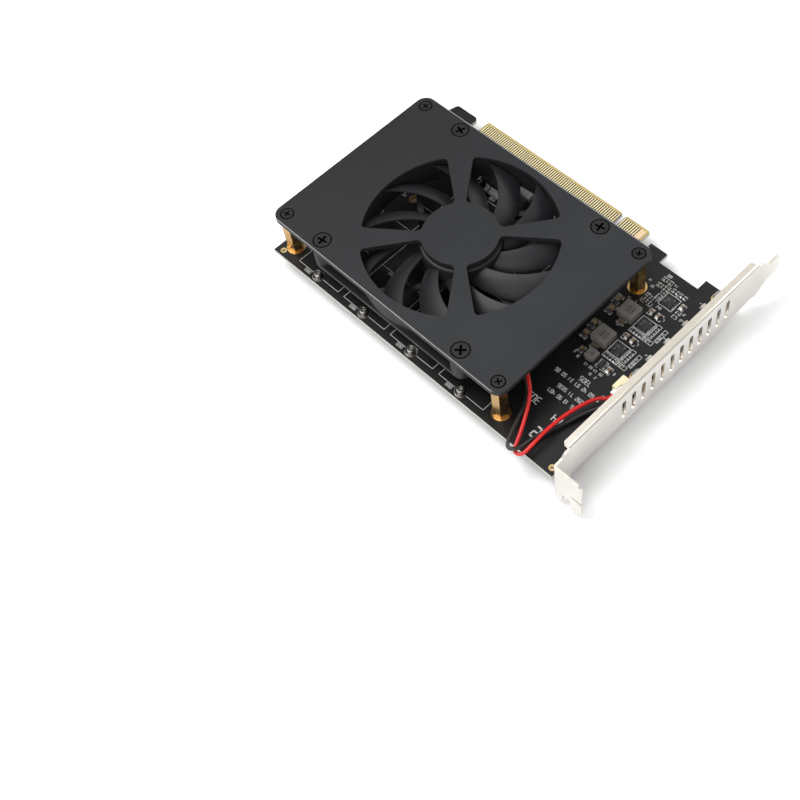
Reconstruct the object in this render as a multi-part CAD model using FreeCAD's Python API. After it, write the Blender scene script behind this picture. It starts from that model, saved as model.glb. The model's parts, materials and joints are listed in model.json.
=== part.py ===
import FreeCAD, Part
import math
import os

# Four-slot M.2 (NVMe) adapter card with a cover plate and a cooling fan.
# Millimetres. Origin: middle of the key notch on the connector edge, on the component face.
# +X to the bracket, +Y to the contact tips, +Z up from the component face.

V = FreeCAD.Vector
os.makedirs("parts", exist_ok=True)

# ---- circuit board ----
BOARD_T = 1.6
BOARD_FAR_X = -89.0
BOARD_NEAR_X = 55.4
BOARD_DEPTH = 101.5
KEY_HALF = 0.95
KEY_DEPTH = 7.5
SHORT_ROW_X = 12.6
SLOT_A_X = 16.4
SLOT_A_DEPTH = 8.9
TAB_X = 24.3
TAB_DROP = 4.2
STEP_DROP = 9.1
STEP_X = 42.5
LONG_ROW_X = -72.6
SLOT_B_X = -77.2
SLOT_B_DEPTH = 8.0
HOOK_TOP = 1.8
HOOK_NOTCH_TOP = 8.8
HOOK_NOTCH_LOW = 11.3
HOOK_NOTCH_X = -84.0
LEAD_IN = 0.6
BEVEL_RUN = 1.3
BEVEL_RISE = 0.45

# ---- contacts ----
PAD_PITCH = 1.0
PAD_W = 0.6
PAD_LEN = 4.6
PAD_T = 0.05
SHORT_FIRST = 1.5
SHORT_COUNT = 11
LONG_COUNT = 71

# ---- M.2 places ----
BAY_X = (9.24, -16.0, -41.3, -66.5)
ROW_2280 = 98.55
ROW_STEPS = (20.0, 38.0, 50.0)
BAY_HOLE_R = 1.35
PEG_DROP = 20.3
PEG_HALF_PITCH = 10.0
PEG_BIG_R = 0.75
PEG_SMALL_R = 0.5
PEG_GAP = 0.05
CONN_W = 21.9
CONN_H = 4.2
CONN_BACK = 3.9
CONN_FRONT = 4.8
MODULE_Z = 2.35
MODULE_SLOT_H = 0.95
MODULE_SLOT_W = 20.0
MODULE_SLOT_DEEP = 4.6
KEY_TAB_X = -6.1
KEY_TAB_W = 1.0
NUT_BASE_R = 2.1
NUT_BASE_T = 0.6
NUT_NECK_R = 1.4
NUT_BORE_R = 0.8

# ---- cover plate and standoffs ----
COVER_GAP = 18.0
PLATE_T = 2.0
PLATE_CX = -29.05
PLATE_CY = -58.8
PLATE_W = 118.0
PLATE_CORNER_R = 4.6
PLATE_RIM = 0.5
POST_INSET = 4.5
POST_AF = 5.5
POST_CHAMFER = 0.5
THREAD_R = 1.25
THREAD_GAP = 0.05
THREAD_DEPTH = 7.0
CLEAR_R = 1.6
COVER_HEAD_R = 2.65
COVER_SCREW_LEN = 6.0
SEAT_GAP = 0.03
PAN_R = 3.1
PAN_H = 1.6

# ---- fan ----
FAN_CX = -28.6
FAN_CY = -58.6
FAN_SIDE = 80.0
FAN_T = 10.0
FAN_HOLE_R = 2.1
FAN_CORNER_R = 4.25
DUCT_INSET = 2.0
DUCT_WALL = 1.7
FLANGE_T = 1.5
WEB_W = 5.0
VENT_LIP = 1.0
VENT_HUB_LAP = 1.1
SPOKE_HALF_DEG = 7.75
VENT_CORNER_R = 1.8
FAN_HEAD_R = 3.55
FAN_SCREW_R = 2.0
FAN_SCREW_LEN = 9.0
BASE_R = 16.4
BASE_T = 1.3
STRUT_W = 2.2
STRUT_H = 2.0
STRUT_COUNT = 4
STRUT_LEAD_DEG = -40.0
STRUT_SET_IN = 1.3
TUBE_R = 3.6
BUSH_R = 2.5
SHAFT_R = 1.25
RUN_GAP = 0.03
PCB_R = 12.0
PCB_T = 0.8
HUB_R = 15.6
HUB_WALL = 1.0
HUB_TOP_T = 1.2
HUB_TOP_GAP = 0.7
HUB_SKIRT_GAP = 1.1
YOKE_T = 0.8
MAGNET_T = 1.2
AIR_GAP = 0.6
STATOR_H = 3.2
TUBE_OVER = 1.2
CORE_GAP = 0.4
CORE_WALL = 1.2
BLADE_COUNT = 11
BLADE_TIP_GAP = 0.8
BLADE_T = 0.9
BLADE_ROOT_DROP = 2.6
BLADE_TIP_DROP = 1.4
BLADE_LOW_RISE = 3.2
BLADE_START_DEG = 76.4
BLADE_MID_R = 30.0
BLADE_SWEEP = 1.38
BLADE_SPAN_ROOT = 2.4
BLADE_SPAN_RISE = 0.27
BLADE_SAG = 0.58
BLADE_SECTIONS = 4
WIRE_BLOCK_Y0 = -80.0
WIRE_BLOCK_Y1 = -74.0
WIRE_BLOCK_H = 3.4

# ---- bracket ----
SHEET_T = 0.86
BRACKET_X = 58.0
FLANGE_TOP_Z = 15.96
FLANGE_IN = 2.5
BEND_IN_R = 0.24
FLANGE_Y0 = -96.0
FLANGE_Y1 = 3.2
EAR_Y = -103.57
EAR_OUT = 11.43
EAR_TOP_Z = 13.4
EAR_BEND_IN_R = 0.4
TONGUE_Y = 16.45
VENT_COUNT = 12
VENT_PITCH = 5.04
VENT_FIRST_Y = -69.0
VENT_Z0 = 1.8
VENT_Z1 = 12.6
VENT_W = 2.0
LUG_Y = (-7.5, -52.6)
LUG_W = 7.0
LUG_CX = 52.0
LUG_SCREW_R = 1.45
SCREW_NUT_H = 2.4
SCREW_NUT_AF = 5.5

# ---- parts near the bracket ----
HEADER_X = 51.6
HEADER_W = 5.9
HEADER_Y0 = -63.4
HEADER_Y1 = -57.4
HEADER_H = 5.0
HEADER_WALL = 0.8
HEADER_MOUTH = 4.6
PIN_PITCH = 2.0
PIN_HALF = 0.25
PLUG_OUT = 2.0
PLUG_GAP = 0.1
WIRE_R = 0.7
WIRE_RISE = 0.6

# ---- small components: width, depth, height and places ----
COIL_SIZE = (7.0, 7.0, 3.0)
COIL_CORNER_R = 0.6
COIL_AT = ((31.3, -33.9), (31.4, -48.2))
SMALL_COIL_SIZE = (4.2, 4.2, 2.0)
SMALL_COIL_AT = ((33.3, -56.6),)
CHIP_SIZE = (4.2, 4.0, 0.9)
CHIP_AT = ((38.7, -20.7), (38.6, -34.1), (38.6, -48.3))
BIG_CAP_SIZE = (2.0, 3.2, 1.6)
BIG_CAP_AT = ((24.0, -31.9), (25.0, -36.9), (24.6, -45.6), (25.4, -50.8))
FLAT_CAP_SIZE = (2.6, 1.4, 0.8)
FLAT_CAP_AT = ((31.4, -38.6), (31.2, -52.8))
TALL_CAP_SIZE = (1.25, 2.0, 1.1)
TALL_CAP_AT = ((37.2, -28.2), (39.8, -28.2), (37.3, -42.2), (39.9, -42.2), (28.7, -56.8),
               (41.8, -57.3), (43.8, -19.4))
SOT_SIZE = (1.5, 2.9, 1.0)
SOT_AT = ((38.4, -57.0),)
RES_SIZE = (0.6, 1.2, 0.5)
RES_PITCH = 1.3
RES_ROWS = ((36.7, -38.7, 4), (36.7, -53.0, 4), (31.1, -25.6, 3), (31.1, -23.4, 3), (31.0, -16.9, 3),
            (31.0, -13.6, 3), (36.9, -15.5, 2), (40.4, -15.5, 2))
RES_COLUMNS = ((43.1, -36.4, 4), (43.1, -50.6, 4), (34.3, -21.6, 5), (44.2, -24.0, 2))
LED_SIZE = (0.9, 1.7, 0.7)
LED_X = 49.1
LED_Y = (-13.8, -23.9, -34.1, -43.8)
TOOLING_R = 0.6
TOOLING_AT = ((53.2, -98.9), (-86.6, -13.9), (-85.8, -99.3))

# ---- sizes that follow from the ones above ----
PLATE_D = FAN_SIDE + 2 * PLATE_RIM
POST_DX = PLATE_W / 2 - POST_INSET
POST_DY = PLATE_D / 2 - POST_INSET
FAN_HOLE_HALF = FAN_SIDE / 2 - FAN_CORNER_R
DUCT_R = FAN_SIDE / 2 - DUCT_INSET
VENT_R_OUT = DUCT_R - VENT_LIP
VENT_R_IN = HUB_R - VENT_HUB_LAP
BLADE_TIP_R = DUCT_R - BLADE_TIP_GAP
FAN_TOP = COVER_GAP
FAN_LOW = COVER_GAP - FAN_T
TUBE_TOP = FAN_LOW + BASE_T + PCB_T + STATOR_H + TUBE_OVER


def box(x0, x1, y0, y1, z0, z1):
    return Part.makeBox(x1 - x0, y1 - y0, z1 - z0, V(x0, y0, z0))


def cyl(x, y, z0, z1, r):
    return Part.makeCylinder(r, z1 - z0, V(x, y, z0))


def cone(x, y, z0, z1, r0, r1):
    return Part.makeCone(r0, r1, z1 - z0, V(x, y, z0))


def prism(points, z0, z1):
    wire = Part.makePolygon([V(x, y, z0) for x, y in points + points[:1]])
    return Part.Face(wire).extrude(V(0, 0, z1 - z0))


def outline(steps, z0, z1):
    # closed profile: ("L", x, y) straight to, ("A", mx, my, x, y) arc through to
    edges = []
    last = V(steps[0][1], steps[0][2], z0)
    first = last
    for step in steps[1:] + [("L", steps[0][1], steps[0][2])]:
        end = V(step[-2], step[-1], z0)
        if end.distanceToPoint(last) < 1e-6:
            continue
        if step[0] == "L":
            edges.append(Part.LineSegment(last, end).toShape())
        else:
            edges.append(Part.Arc(last, V(step[1], step[2], z0), end).toShape())
        last = end
    face = Part.Face(Part.Wire(edges))
    return face.extrude(V(0, 0, z1 - z0))


def rounded_rect(cx, cy, w, d, r, z0, z1):
    hx = w / 2.0
    hy = d / 2.0
    k = r * (1 - math.sqrt(0.5))
    steps = [
        ("L", cx - hx + r, cy - hy),
        ("L", cx + hx - r, cy - hy),
        ("A", cx + hx - k, cy - hy + k, cx + hx, cy - hy + r),
        ("L", cx + hx, cy + hy - r),
        ("A", cx + hx - k, cy + hy - k, cx + hx - r, cy + hy),
        ("L", cx - hx + r, cy + hy),
        ("A", cx - hx + k, cy + hy - k, cx - hx, cy + hy - r),
        ("L", cx - hx, cy - hy + r),
        ("A", cx - hx + k, cy - hy + k, cx - hx + r, cy - hy),
    ]
    return outline(steps, z0, z1)


def hexagon(cx, cy, af, z0, z1, turn=0.0):
    r = af / math.sqrt(3.0)
    pts = []
    for i in range(6):
        a = math.radians(60 * i + turn)
        pts.append((cx + r * math.cos(a), cy + r * math.sin(a)))
    return prism(pts, z0, z1)


def cross_recess(cx, cy, z0, z1, span, width, turn=0.0):
    a = box(-span / 2, span / 2, -width / 2, width / 2, z0, z1)
    b = box(-width / 2, width / 2, -span / 2, span / 2, z0, z1)
    cut = a.fuse(b)
    cut.rotate(V(0, 0, 0), V(0, 0, 1), turn)
    cut.translate(V(cx, cy, 0))
    return cut


def fuse_all(shapes):
    if len(shapes) == 1:
        return shapes[0]
    return shapes[0].multiFuse(shapes[1:]).removeSplitter()


def save(name, shapes):
    solid = shapes[0] if len(shapes) == 1 else Part.makeCompound(shapes)
    count = len(solid.Solids)
    print("%-22s solids %3d volume %10.2f valid %s" % (name, count, solid.Volume, solid.isValid()))
    solid.exportStep("parts/%s.step" % name)


def bay_rows():
    rows = [-ROW_2280]
    for step in ROW_STEPS:
        rows.append(-ROW_2280 + step)
    return rows


def posts():
    out = []
    for sx in (1, -1):
        for sy in (1, -1):
            out.append((PLATE_CX + sx * POST_DX, PLATE_CY + sy * POST_DY))
    return out


def fan_holes():
    out = []
    for sx in (1, -1):
        for sy in (1, -1):
            out.append((FAN_CX + sx * FAN_HOLE_HALF, FAN_CY + sy * FAN_HOLE_HALF))
    return out


def board_outline():
    ra = (SLOT_A_X - SHORT_ROW_X) / 2.0
    rb = (LONG_ROW_X - SLOT_B_X) / 2.0
    ca = (SLOT_A_X + SHORT_ROW_X) / 2.0
    cb = (LONG_ROW_X + SLOT_B_X) / 2.0
    hook_end = BOARD_FAR_X - 0.9
    return [
        ("L", BOARD_NEAR_X, -BOARD_DEPTH),
        ("L", BOARD_NEAR_X, -TAB_DROP),
        ("L", STEP_X, -TAB_DROP),
        ("L", STEP_X, -STEP_DROP),
        ("L", TAB_X, -STEP_DROP),
        ("L", TAB_X, -TAB_DROP),
        ("L", SLOT_A_X, -TAB_DROP),
        ("L", SLOT_A_X, -SLOT_A_DEPTH + ra),
        ("A", ca, -SLOT_A_DEPTH, SHORT_ROW_X, -SLOT_A_DEPTH + ra),
        ("L", SHORT_ROW_X, -LEAD_IN),
        ("L", SHORT_ROW_X - LEAD_IN, 0.0),
        ("L", KEY_HALF + LEAD_IN, 0.0),
        ("L", KEY_HALF, -LEAD_IN),
        ("L", KEY_HALF, -KEY_DEPTH + KEY_HALF),
        ("A", 0.0, -KEY_DEPTH, -KEY_HALF, -KEY_DEPTH + KEY_HALF),
        ("L", -KEY_HALF, -LEAD_IN),
        ("L", -KEY_HALF - LEAD_IN, 0.0),
        ("L", LONG_ROW_X + LEAD_IN, 0.0),
        ("L", LONG_ROW_X, -LEAD_IN),
        ("L", LONG_ROW_X, -SLOT_B_DEPTH + rb),
        ("A", cb, -SLOT_B_DEPTH, SLOT_B_X, -SLOT_B_DEPTH + rb),
        ("L", SLOT_B_X, -HOOK_TOP - 1.0),
        ("L", SLOT_B_X - 1.0, -HOOK_TOP),
        ("L", hook_end + 1.8, -HOOK_TOP),
        ("L", hook_end + 1.0, -HOOK_TOP - 1.0),
        ("L", hook_end, -HOOK_NOTCH_TOP + 1.8),
        ("L", HOOK_NOTCH_X - 1.2, -HOOK_NOTCH_TOP),
        ("L", HOOK_NOTCH_X, (-HOOK_NOTCH_TOP - HOOK_NOTCH_LOW) / 2.0),
        ("L", HOOK_NOTCH_X - 1.2, -HOOK_NOTCH_LOW),
        ("L", BOARD_FAR_X, -HOOK_NOTCH_LOW),
        ("L", BOARD_FAR_X, -BOARD_DEPTH),
    ]


def circuit_board():
    body = outline(board_outline(), -BOARD_T, 0.0)
    cuts = []
    for bx in BAY_X:
        for ry in bay_rows():
            cuts.append(cyl(bx, ry, -BOARD_T - 1, 1, BAY_HOLE_R))
        for side, r in ((1, PEG_BIG_R), (-1, PEG_SMALL_R)):
            cuts.append(cyl(bx + side * PEG_HALF_PITCH, -PEG_DROP, -BOARD_T - 1, 1, r + PEG_GAP))
    for px, py in posts():
        cuts.append(cyl(px, py, -BOARD_T - 1, 1, CLEAR_R))
    for ly in LUG_Y:
        cuts.append(cyl(LUG_CX, ly, -BOARD_T - 1, 1, CLEAR_R))
    for tx, ty in TOOLING_AT:
        cuts.append(cyl(tx, ty, -BOARD_T - 1, 1, TOOLING_R))
    for k in (-0.5, 0.5):
        cuts.append(cyl(HEADER_X + k * PIN_PITCH, HEADER_Y1 - 0.9, -BOARD_T - 1, 1, 0.45))
    for zc, sgn in ((0.0, 1), (-BOARD_T, -1)):
        tri = Part.Face(Part.makePolygon([
            V(LONG_ROW_X - 0.5, 0.2, zc + sgn * 0.2),
            V(LONG_ROW_X - 0.5, -BEVEL_RUN, zc + sgn * 0.2),
            V(LONG_ROW_X - 0.5, -BEVEL_RUN, zc),
            V(LONG_ROW_X - 0.5, 0.2, zc - sgn * BEVEL_RISE * (BEVEL_RUN + 0.2) / BEVEL_RUN),
            V(LONG_ROW_X - 0.5, 0.2, zc + sgn * 0.2),
        ]))
        cuts.append(tri.extrude(V(SHORT_ROW_X - LONG_ROW_X + 1.0, 0, 0)))
    save("circuit_board", [body.cut(Part.makeCompound(cuts))])


def pad_row(x_list, z0, z1):
    pads = []
    y1 = -BEVEL_RUN - 0.1
    for x in x_list:
        pads.append(box(x - PAD_W / 2, x + PAD_W / 2, y1 - PAD_LEN, y1, z0, z1))
    return pads


def edge_contacts():
    short = [SHORT_FIRST + PAD_PITCH * i for i in range(SHORT_COUNT)]
    long_row = [-SHORT_FIRST - PAD_PITCH * i for i in range(LONG_COUNT)]
    back = pad_row(short + long_row, -BOARD_T - PAD_T, -BOARD_T)
    front = pad_row(short[:-3] + long_row, 0.0, PAD_T)
    y1 = -BEVEL_RUN - 0.1
    x0 = short[-3] - PAD_W / 2
    x1 = short[-1] + PAD_W / 2
    front.append(box(x0, x1, y1 - PAD_LEN, y1, 0.0, PAD_T))
    save("edge_contacts_front", front)
    save("edge_contacts_back", back)


def channel_profile():
    x0 = BRACKET_X
    x1 = BRACKET_X + SHEET_T
    lip = x1 - FLANGE_IN - SHEET_T
    top = FLANGE_TOP_Z
    low = -BOARD_T - SHEET_T
    ri = BEND_IN_R
    ro = BEND_IN_R + SHEET_T
    ki = ri * (1 - math.sqrt(0.5))
    ko = ro * (1 - math.sqrt(0.5))
    return [
        ("L", lip, top),
        ("L", x1 - ro, top),
        ("A", x1 - ko, top - ko, x1, top - ro),
        ("L", x1, low + ro),
        ("A", x1 - ko, low + ko, x1 - ro, low),
        ("L", lip, low),
        ("L", lip, low + SHEET_T),
        ("L", x0 - ri, low + SHEET_T),
        ("A", x0 - ki, low + SHEET_T + ki, x0, low + SHEET_T + ri),
        ("L", x0, top - SHEET_T - ri),
        ("A", x0 - ki, top - SHEET_T - ki, x0 - ri, top - SHEET_T),
        ("L", lip, top - SHEET_T),
    ]


def to_plane(shape, axis):
    # profile drawn in XY and extruded along Z, turned to stand in XZ or YZ
    if axis == "xz":
        shape.rotate(V(0, 0, 0), V(1, 0, 0), 90)
    else:
        shape.rotate(V(0, 0, 0), V(1, 0, 0), 90)
        shape.rotate(V(0, 0, 0), V(0, 0, 1), 90)
    return shape


def bracket_channel():
    # XY profile (x, z) extruded, then turned so that its length runs along Y
    bar = outline(channel_profile(), -FLANGE_Y1, -FLANGE_Y0)
    bar = to_plane(bar, "xz")
    r = 1.0
    x_lip = BRACKET_X - FLANGE_IN
    trims = []
    for y, s in ((FLANGE_Y0, 1), (FLANGE_Y1, -1)):
        tri = [(x_lip - 0.1, y - s * 0.1), (x_lip + r, y - s * 0.1), (x_lip - 0.1, y + s * r)]
        trims.append(prism(tri, -10.0, 30.0))
    return bar.cut(Part.makeCompound(trims))


def bracket_face():
    low = -BOARD_T - SHEET_T
    ro = BEND_IN_R + SHEET_T
    top = FLANGE_TOP_Z - ro
    y_bend = EAR_Y + SHEET_T + EAR_BEND_IN_R
    steps = [
        ("L", y_bend, low),
        ("L", FLANGE_Y0 + 0.5, low),
        ("L", FLANGE_Y0 + 0.5, low + ro),
        ("L", FLANGE_Y1 - 0.5, low + ro),
        ("L", FLANGE_Y1 - 0.5, low),
        ("L", FLANGE_Y1 + 0.6, low),
        ("L", 9.6, 1.2),
        ("L", TONGUE_Y - 1.2, 1.2),
        ("A", TONGUE_Y - 0.35, 1.55, TONGUE_Y, 2.4),
        ("L", TONGUE_Y, 8.9),
        ("A", TONGUE_Y - 0.4, 9.9, TONGUE_Y - 1.4, 10.3),
        ("L", 10.2, 10.3),
        ("L", 6.2, 14.4),
        ("A", 5.3, 14.95, 4.3, 15.2),
        ("L", FLANGE_Y1 - 0.5, 15.2),
        ("L", FLANGE_Y1 - 0.5, top),
        ("L", FLANGE_Y0 + 0.5, top),
        ("L", FLANGE_Y0 + 0.5, 15.4),
        ("L", FLANGE_Y0 - 1.6, 15.4),
        ("A", FLANGE_Y0 - 2.4, 14.9, FLANGE_Y0 - 3.0, 14.2),
        ("A", FLANGE_Y0 - 3.6, EAR_TOP_Z + 0.2, FLANGE_Y0 - 4.5, EAR_TOP_Z),
        ("L", y_bend, EAR_TOP_Z),
    ]
    plate = outline(steps, BRACKET_X, BRACKET_X + SHEET_T)
    plate = to_plane(plate, "yz")
    return plate


def bracket_ear():
    low = -BOARD_T - SHEET_T
    ro = EAR_BEND_IN_R + SHEET_T
    cx = BRACKET_X + ro
    cy = EAR_Y + ro
    ki = EAR_BEND_IN_R * math.sqrt(0.5)
    ko = ro * math.sqrt(0.5)
    bend = outline([
        ("L", cx - ro, cy),
        ("A", cx - ko, cy - ko, cx, cy - ro),
        ("L", cx, cy - EAR_BEND_IN_R),
        ("A", cx - ki, cy - ki, cx - EAR_BEND_IN_R, cy),
    ], low, EAR_TOP_Z)
    x_end = BRACKET_X + SHEET_T + EAR_OUT
    foot = EAR_TOP_Z - 21.59
    ear = outline([
        ("L", cx, EAR_TOP_Z),
        ("L", cx, low),
        ("L", BRACKET_X + 0.4, low - 0.3),
        ("L", BRACKET_X + 0.4, foot + 1.9),
        ("L", BRACKET_X + 2.5, foot + 1.0),
        ("L", BRACKET_X + 3.5, foot + 2.0),
        ("L", BRACKET_X + 3.9, foot + 3.7),
        ("L", BRACKET_X + 3.9, foot + 5.2),
        ("A", BRACKET_X + 5.7, foot + 7.0, BRACKET_X + 7.6, foot + 5.2),
        ("L", BRACKET_X + 7.8, foot + 1.6),
        ("L", BRACKET_X + 8.4, foot + 0.5),
        ("L", BRACKET_X + 10.2, foot),
        ("L", BRACKET_X + 11.2, foot + 1.1),
        ("L", x_end, foot + 3.4),
        ("L", x_end, foot + 9.7),
        ("L", x_end - 3.8, foot + 9.7),
        ("A", x_end - 4.3, foot + 10.2, x_end - 3.8, foot + 10.7),
        ("L", x_end, foot + 10.7),
        ("L", x_end, EAR_TOP_Z - 1.8),
        ("A", x_end - 0.5, EAR_TOP_Z - 0.5, x_end - 1.8, EAR_TOP_Z),
    ], -EAR_Y - SHEET_T, -EAR_Y)
    return fuse_all([bend, to_plane(ear, "xz")])


def bracket_lugs():
    low = -BOARD_T - SHEET_T
    out = []
    r = LUG_W / 2.0
    for ly in LUG_Y:
        x_in = BRACKET_X - FLANGE_IN + 0.2
        out.append(outline([
            ("L", x_in, ly - r),
            ("L", x_in, ly + r),
            ("L", LUG_CX, ly + r),
            ("A", LUG_CX - r, ly, LUG_CX, ly - r),
        ], low, low + SHEET_T))
    return out


def bracket():
    body = fuse_all([bracket_channel(), bracket_face(), bracket_ear()] + bracket_lugs())
    cuts = []
    for i in range(VENT_COUNT):
        yc = VENT_FIRST_Y + VENT_PITCH * i
        w = VENT_W / 2.0
        slot = outline([
            ("L", yc - w, VENT_Z0 + w),
            ("A", yc, VENT_Z0, yc + w, VENT_Z0 + w),
            ("L", yc + w, VENT_Z1 - w),
            ("A", yc, VENT_Z1, yc - w, VENT_Z1 - w),
        ], BRACKET_X - 1.0, BRACKET_X + SHEET_T + 1.0)
        cuts.append(to_plane(slot, "yz"))
    for ly in LUG_Y:
        cuts.append(cyl(LUG_CX, ly, -BOARD_T - SHEET_T - 1, -BOARD_T + 1, CLEAR_R))
    save("bracket", [body.cut(Part.makeCompound(cuts))])


def pan_screw(x, y, z_seat, tip_z, shank_r, turn):
    # head below the seat, shank pointing up
    low = z_seat - PAN_H
    head = cyl(x, y, low + 0.5, z_seat, PAN_R)
    crown = cone(x, y, low, low + 0.5, PAN_R - 0.7, PAN_R)
    shank = cyl(x, y, z_seat, tip_z, shank_r)
    cut = cross_recess(x, y, low - 1, low + 0.9, 3.4, 0.8, turn)
    return fuse_all([head, crown, shank]).cut(cut)


def bracket_fixings():
    seat = -BOARD_T - SHEET_T
    screws = []
    nuts = []
    for i, ly in enumerate(LUG_Y):
        screws.append(pan_screw(LUG_CX, ly, seat, SCREW_NUT_H, LUG_SCREW_R, 20 + 35 * i))
        nut = hexagon(LUG_CX, ly, SCREW_NUT_AF, 0.0, SCREW_NUT_H, 90)
        round_off = cone(LUG_CX, ly, -0.4, SCREW_NUT_H + 0.2, 4.2, 2.75)
        nut = nut.common(round_off)
        nuts.append(nut.cut(cyl(LUG_CX, ly, -1, SCREW_NUT_H + 1, LUG_SCREW_R + THREAD_GAP)))
    save("bracket_screws", screws)
    save("bracket_nuts", nuts)


def cover_standoffs():
    out = []
    tip_r = POST_AF / 2.0
    mid_r = tip_r + POST_CHAMFER
    for i, (px, py) in enumerate(posts()):
        post = hexagon(px, py, POST_AF, 0.0, COVER_GAP, 12)
        turned = fuse_all([
            cone(px, py, 0.0, POST_CHAMFER, tip_r, mid_r),
            cyl(px, py, POST_CHAMFER, COVER_GAP - POST_CHAMFER, mid_r),
            cone(px, py, COVER_GAP - POST_CHAMFER, COVER_GAP, mid_r, tip_r),
        ])
        post = post.common(turned)
        post = post.cut(cyl(px, py, -1, THREAD_DEPTH, THREAD_R))
        post = post.cut(cyl(px, py, COVER_GAP - THREAD_DEPTH, COVER_GAP + 1, THREAD_R))
        out.append(post)
    save("cover_standoffs", out)


def sunk_hole(x, y, head_r, hole_r, z_top):
    drop = head_r - hole_r
    gap = SEAT_GAP
    flare = cone(x, y, z_top - drop - gap, z_top + 1, hole_r, head_r + 1 + gap)
    through = cyl(x, y, z_top - PLATE_T - 1, z_top + 0.5, hole_r)
    return flare.fuse(through)


def sunk_screw(x, y, head_r, shank_r, hole_r, z_top, length, span, width, turn):
    drop = head_r - hole_r
    head = cone(x, y, z_top - drop, z_top, hole_r, head_r)
    shank = cyl(x, y, z_top - length, z_top - drop, shank_r)
    cut = cross_recess(x, y, z_top - 0.9, z_top + 1, span, width, turn)
    return fuse_all([head, shank]).cut(cut)


def vent_sector(mid_deg, z0, z1):
    # one quarter opening: two arcs joined by straight sides parallel to the spokes, soft corners
    half = math.radians(45.0 - SPOKE_HALF_DEG)
    mid = math.radians(mid_deg)

    def at(r, a):
        return (FAN_CX + r * math.cos(mid + a), FAN_CY + r * math.sin(mid + a))

    steps = []
    rc = VENT_CORNER_R
    di = rc / VENT_R_IN
    do = rc / VENT_R_OUT
    p = at(VENT_R_IN, -half + di)
    steps.append(("L", p[0], p[1]))
    m = at(VENT_R_IN + 0.3 * rc, -half + 0.3 * di)
    e = at(VENT_R_IN + rc, -half)
    steps.append(("A", m[0], m[1], e[0], e[1]))
    e = at(VENT_R_OUT - rc, -half)
    steps.append(("L", e[0], e[1]))
    m = at(VENT_R_OUT - 0.3 * rc, -half + 0.3 * do)
    e = at(VENT_R_OUT, -half + do)
    steps.append(("A", m[0], m[1], e[0], e[1]))
    m = at(VENT_R_OUT, 0.0)
    e = at(VENT_R_OUT, half - do)
    steps.append(("A", m[0], m[1], e[0], e[1]))
    m = at(VENT_R_OUT - 0.3 * rc, half - 0.3 * do)
    e = at(VENT_R_OUT - rc, half)
    steps.append(("A", m[0], m[1], e[0], e[1]))
    e = at(VENT_R_IN + rc, half)
    steps.append(("L", e[0], e[1]))
    m = at(VENT_R_IN + 0.3 * rc, half - 0.3 * di)
    e = at(VENT_R_IN, half - di)
    steps.append(("A", m[0], m[1], e[0], e[1]))
    m = at(VENT_R_IN, 0.0)
    steps.append(("A", m[0], m[1], p[0], p[1]))
    edges = []
    last = V(p[0], p[1], z0)
    for step in steps[1:]:
        end = V(step[-2], step[-1], z0)
        if step[0] == "L":
            edges.append(Part.LineSegment(last, end).toShape())
        else:
            edges.append(Part.Arc(last, V(step[1], step[2], z0), end).toShape())
        last = end
    return Part.Face(Part.Wire(edges)).extrude(V(0, 0, z1 - z0))


def cover_plate():
    z0 = COVER_GAP
    z1 = COVER_GAP + PLATE_T
    body = rounded_rect(PLATE_CX, PLATE_CY, PLATE_W, PLATE_D, PLATE_CORNER_R, z0, z1)
    cuts = [vent_sector(90 * k, z0 - 1, z1 + 1) for k in range(4)]
    for px, py in posts():
        cuts.append(sunk_hole(px, py, COVER_HEAD_R, CLEAR_R, z1))
    for px, py in fan_holes():
        cuts.append(sunk_hole(px, py, FAN_HEAD_R, FAN_HOLE_R, z1))
    save("cover_plate", [body.cut(Part.makeCompound(cuts))])


def cover_fixings():
    z1 = COVER_GAP + PLATE_T
    small = []
    shank_r = THREAD_R - THREAD_GAP
    for i, (px, py) in enumerate(posts()):
        small.append(sunk_screw(px, py, COVER_HEAD_R, shank_r, CLEAR_R, z1, COVER_SCREW_LEN,
                                2.8, 0.6, 30 + 25 * i))
    save("cover_screws", small)
    large = []
    for i, (px, py) in enumerate(fan_holes()):
        large.append(sunk_screw(px, py, FAN_HEAD_R, FAN_SCREW_R, FAN_HOLE_R, z1, FAN_SCREW_LEN,
                                4.2, 0.9, 10 + 30 * i))
    save("fan_screws", large)
    back = []
    shank_r = THREAD_R - THREAD_GAP
    for px, py in (posts()[0], posts()[3]):
        back.append(pan_screw(px, py, -BOARD_T, THREAD_DEPTH - 2.0, shank_r, 15))
    save("back_screws", back)


def fan_strut(angle, low):
    # straight arm set off to one side of the motor base, out to the duct
    tangent_r = BASE_R - STRUT_SET_IN - STRUT_W / 2.0
    reach = math.sqrt((DUCT_R + 0.8) ** 2 - tangent_r ** 2)
    arm = box(0.0, reach, tangent_r - STRUT_W / 2.0, tangent_r + STRUT_W / 2.0, low, low + STRUT_H)
    arm.rotate(V(0, 0, 0), V(0, 0, 1), angle)
    arm.translate(V(FAN_CX, FAN_CY, 0))
    return arm


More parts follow.
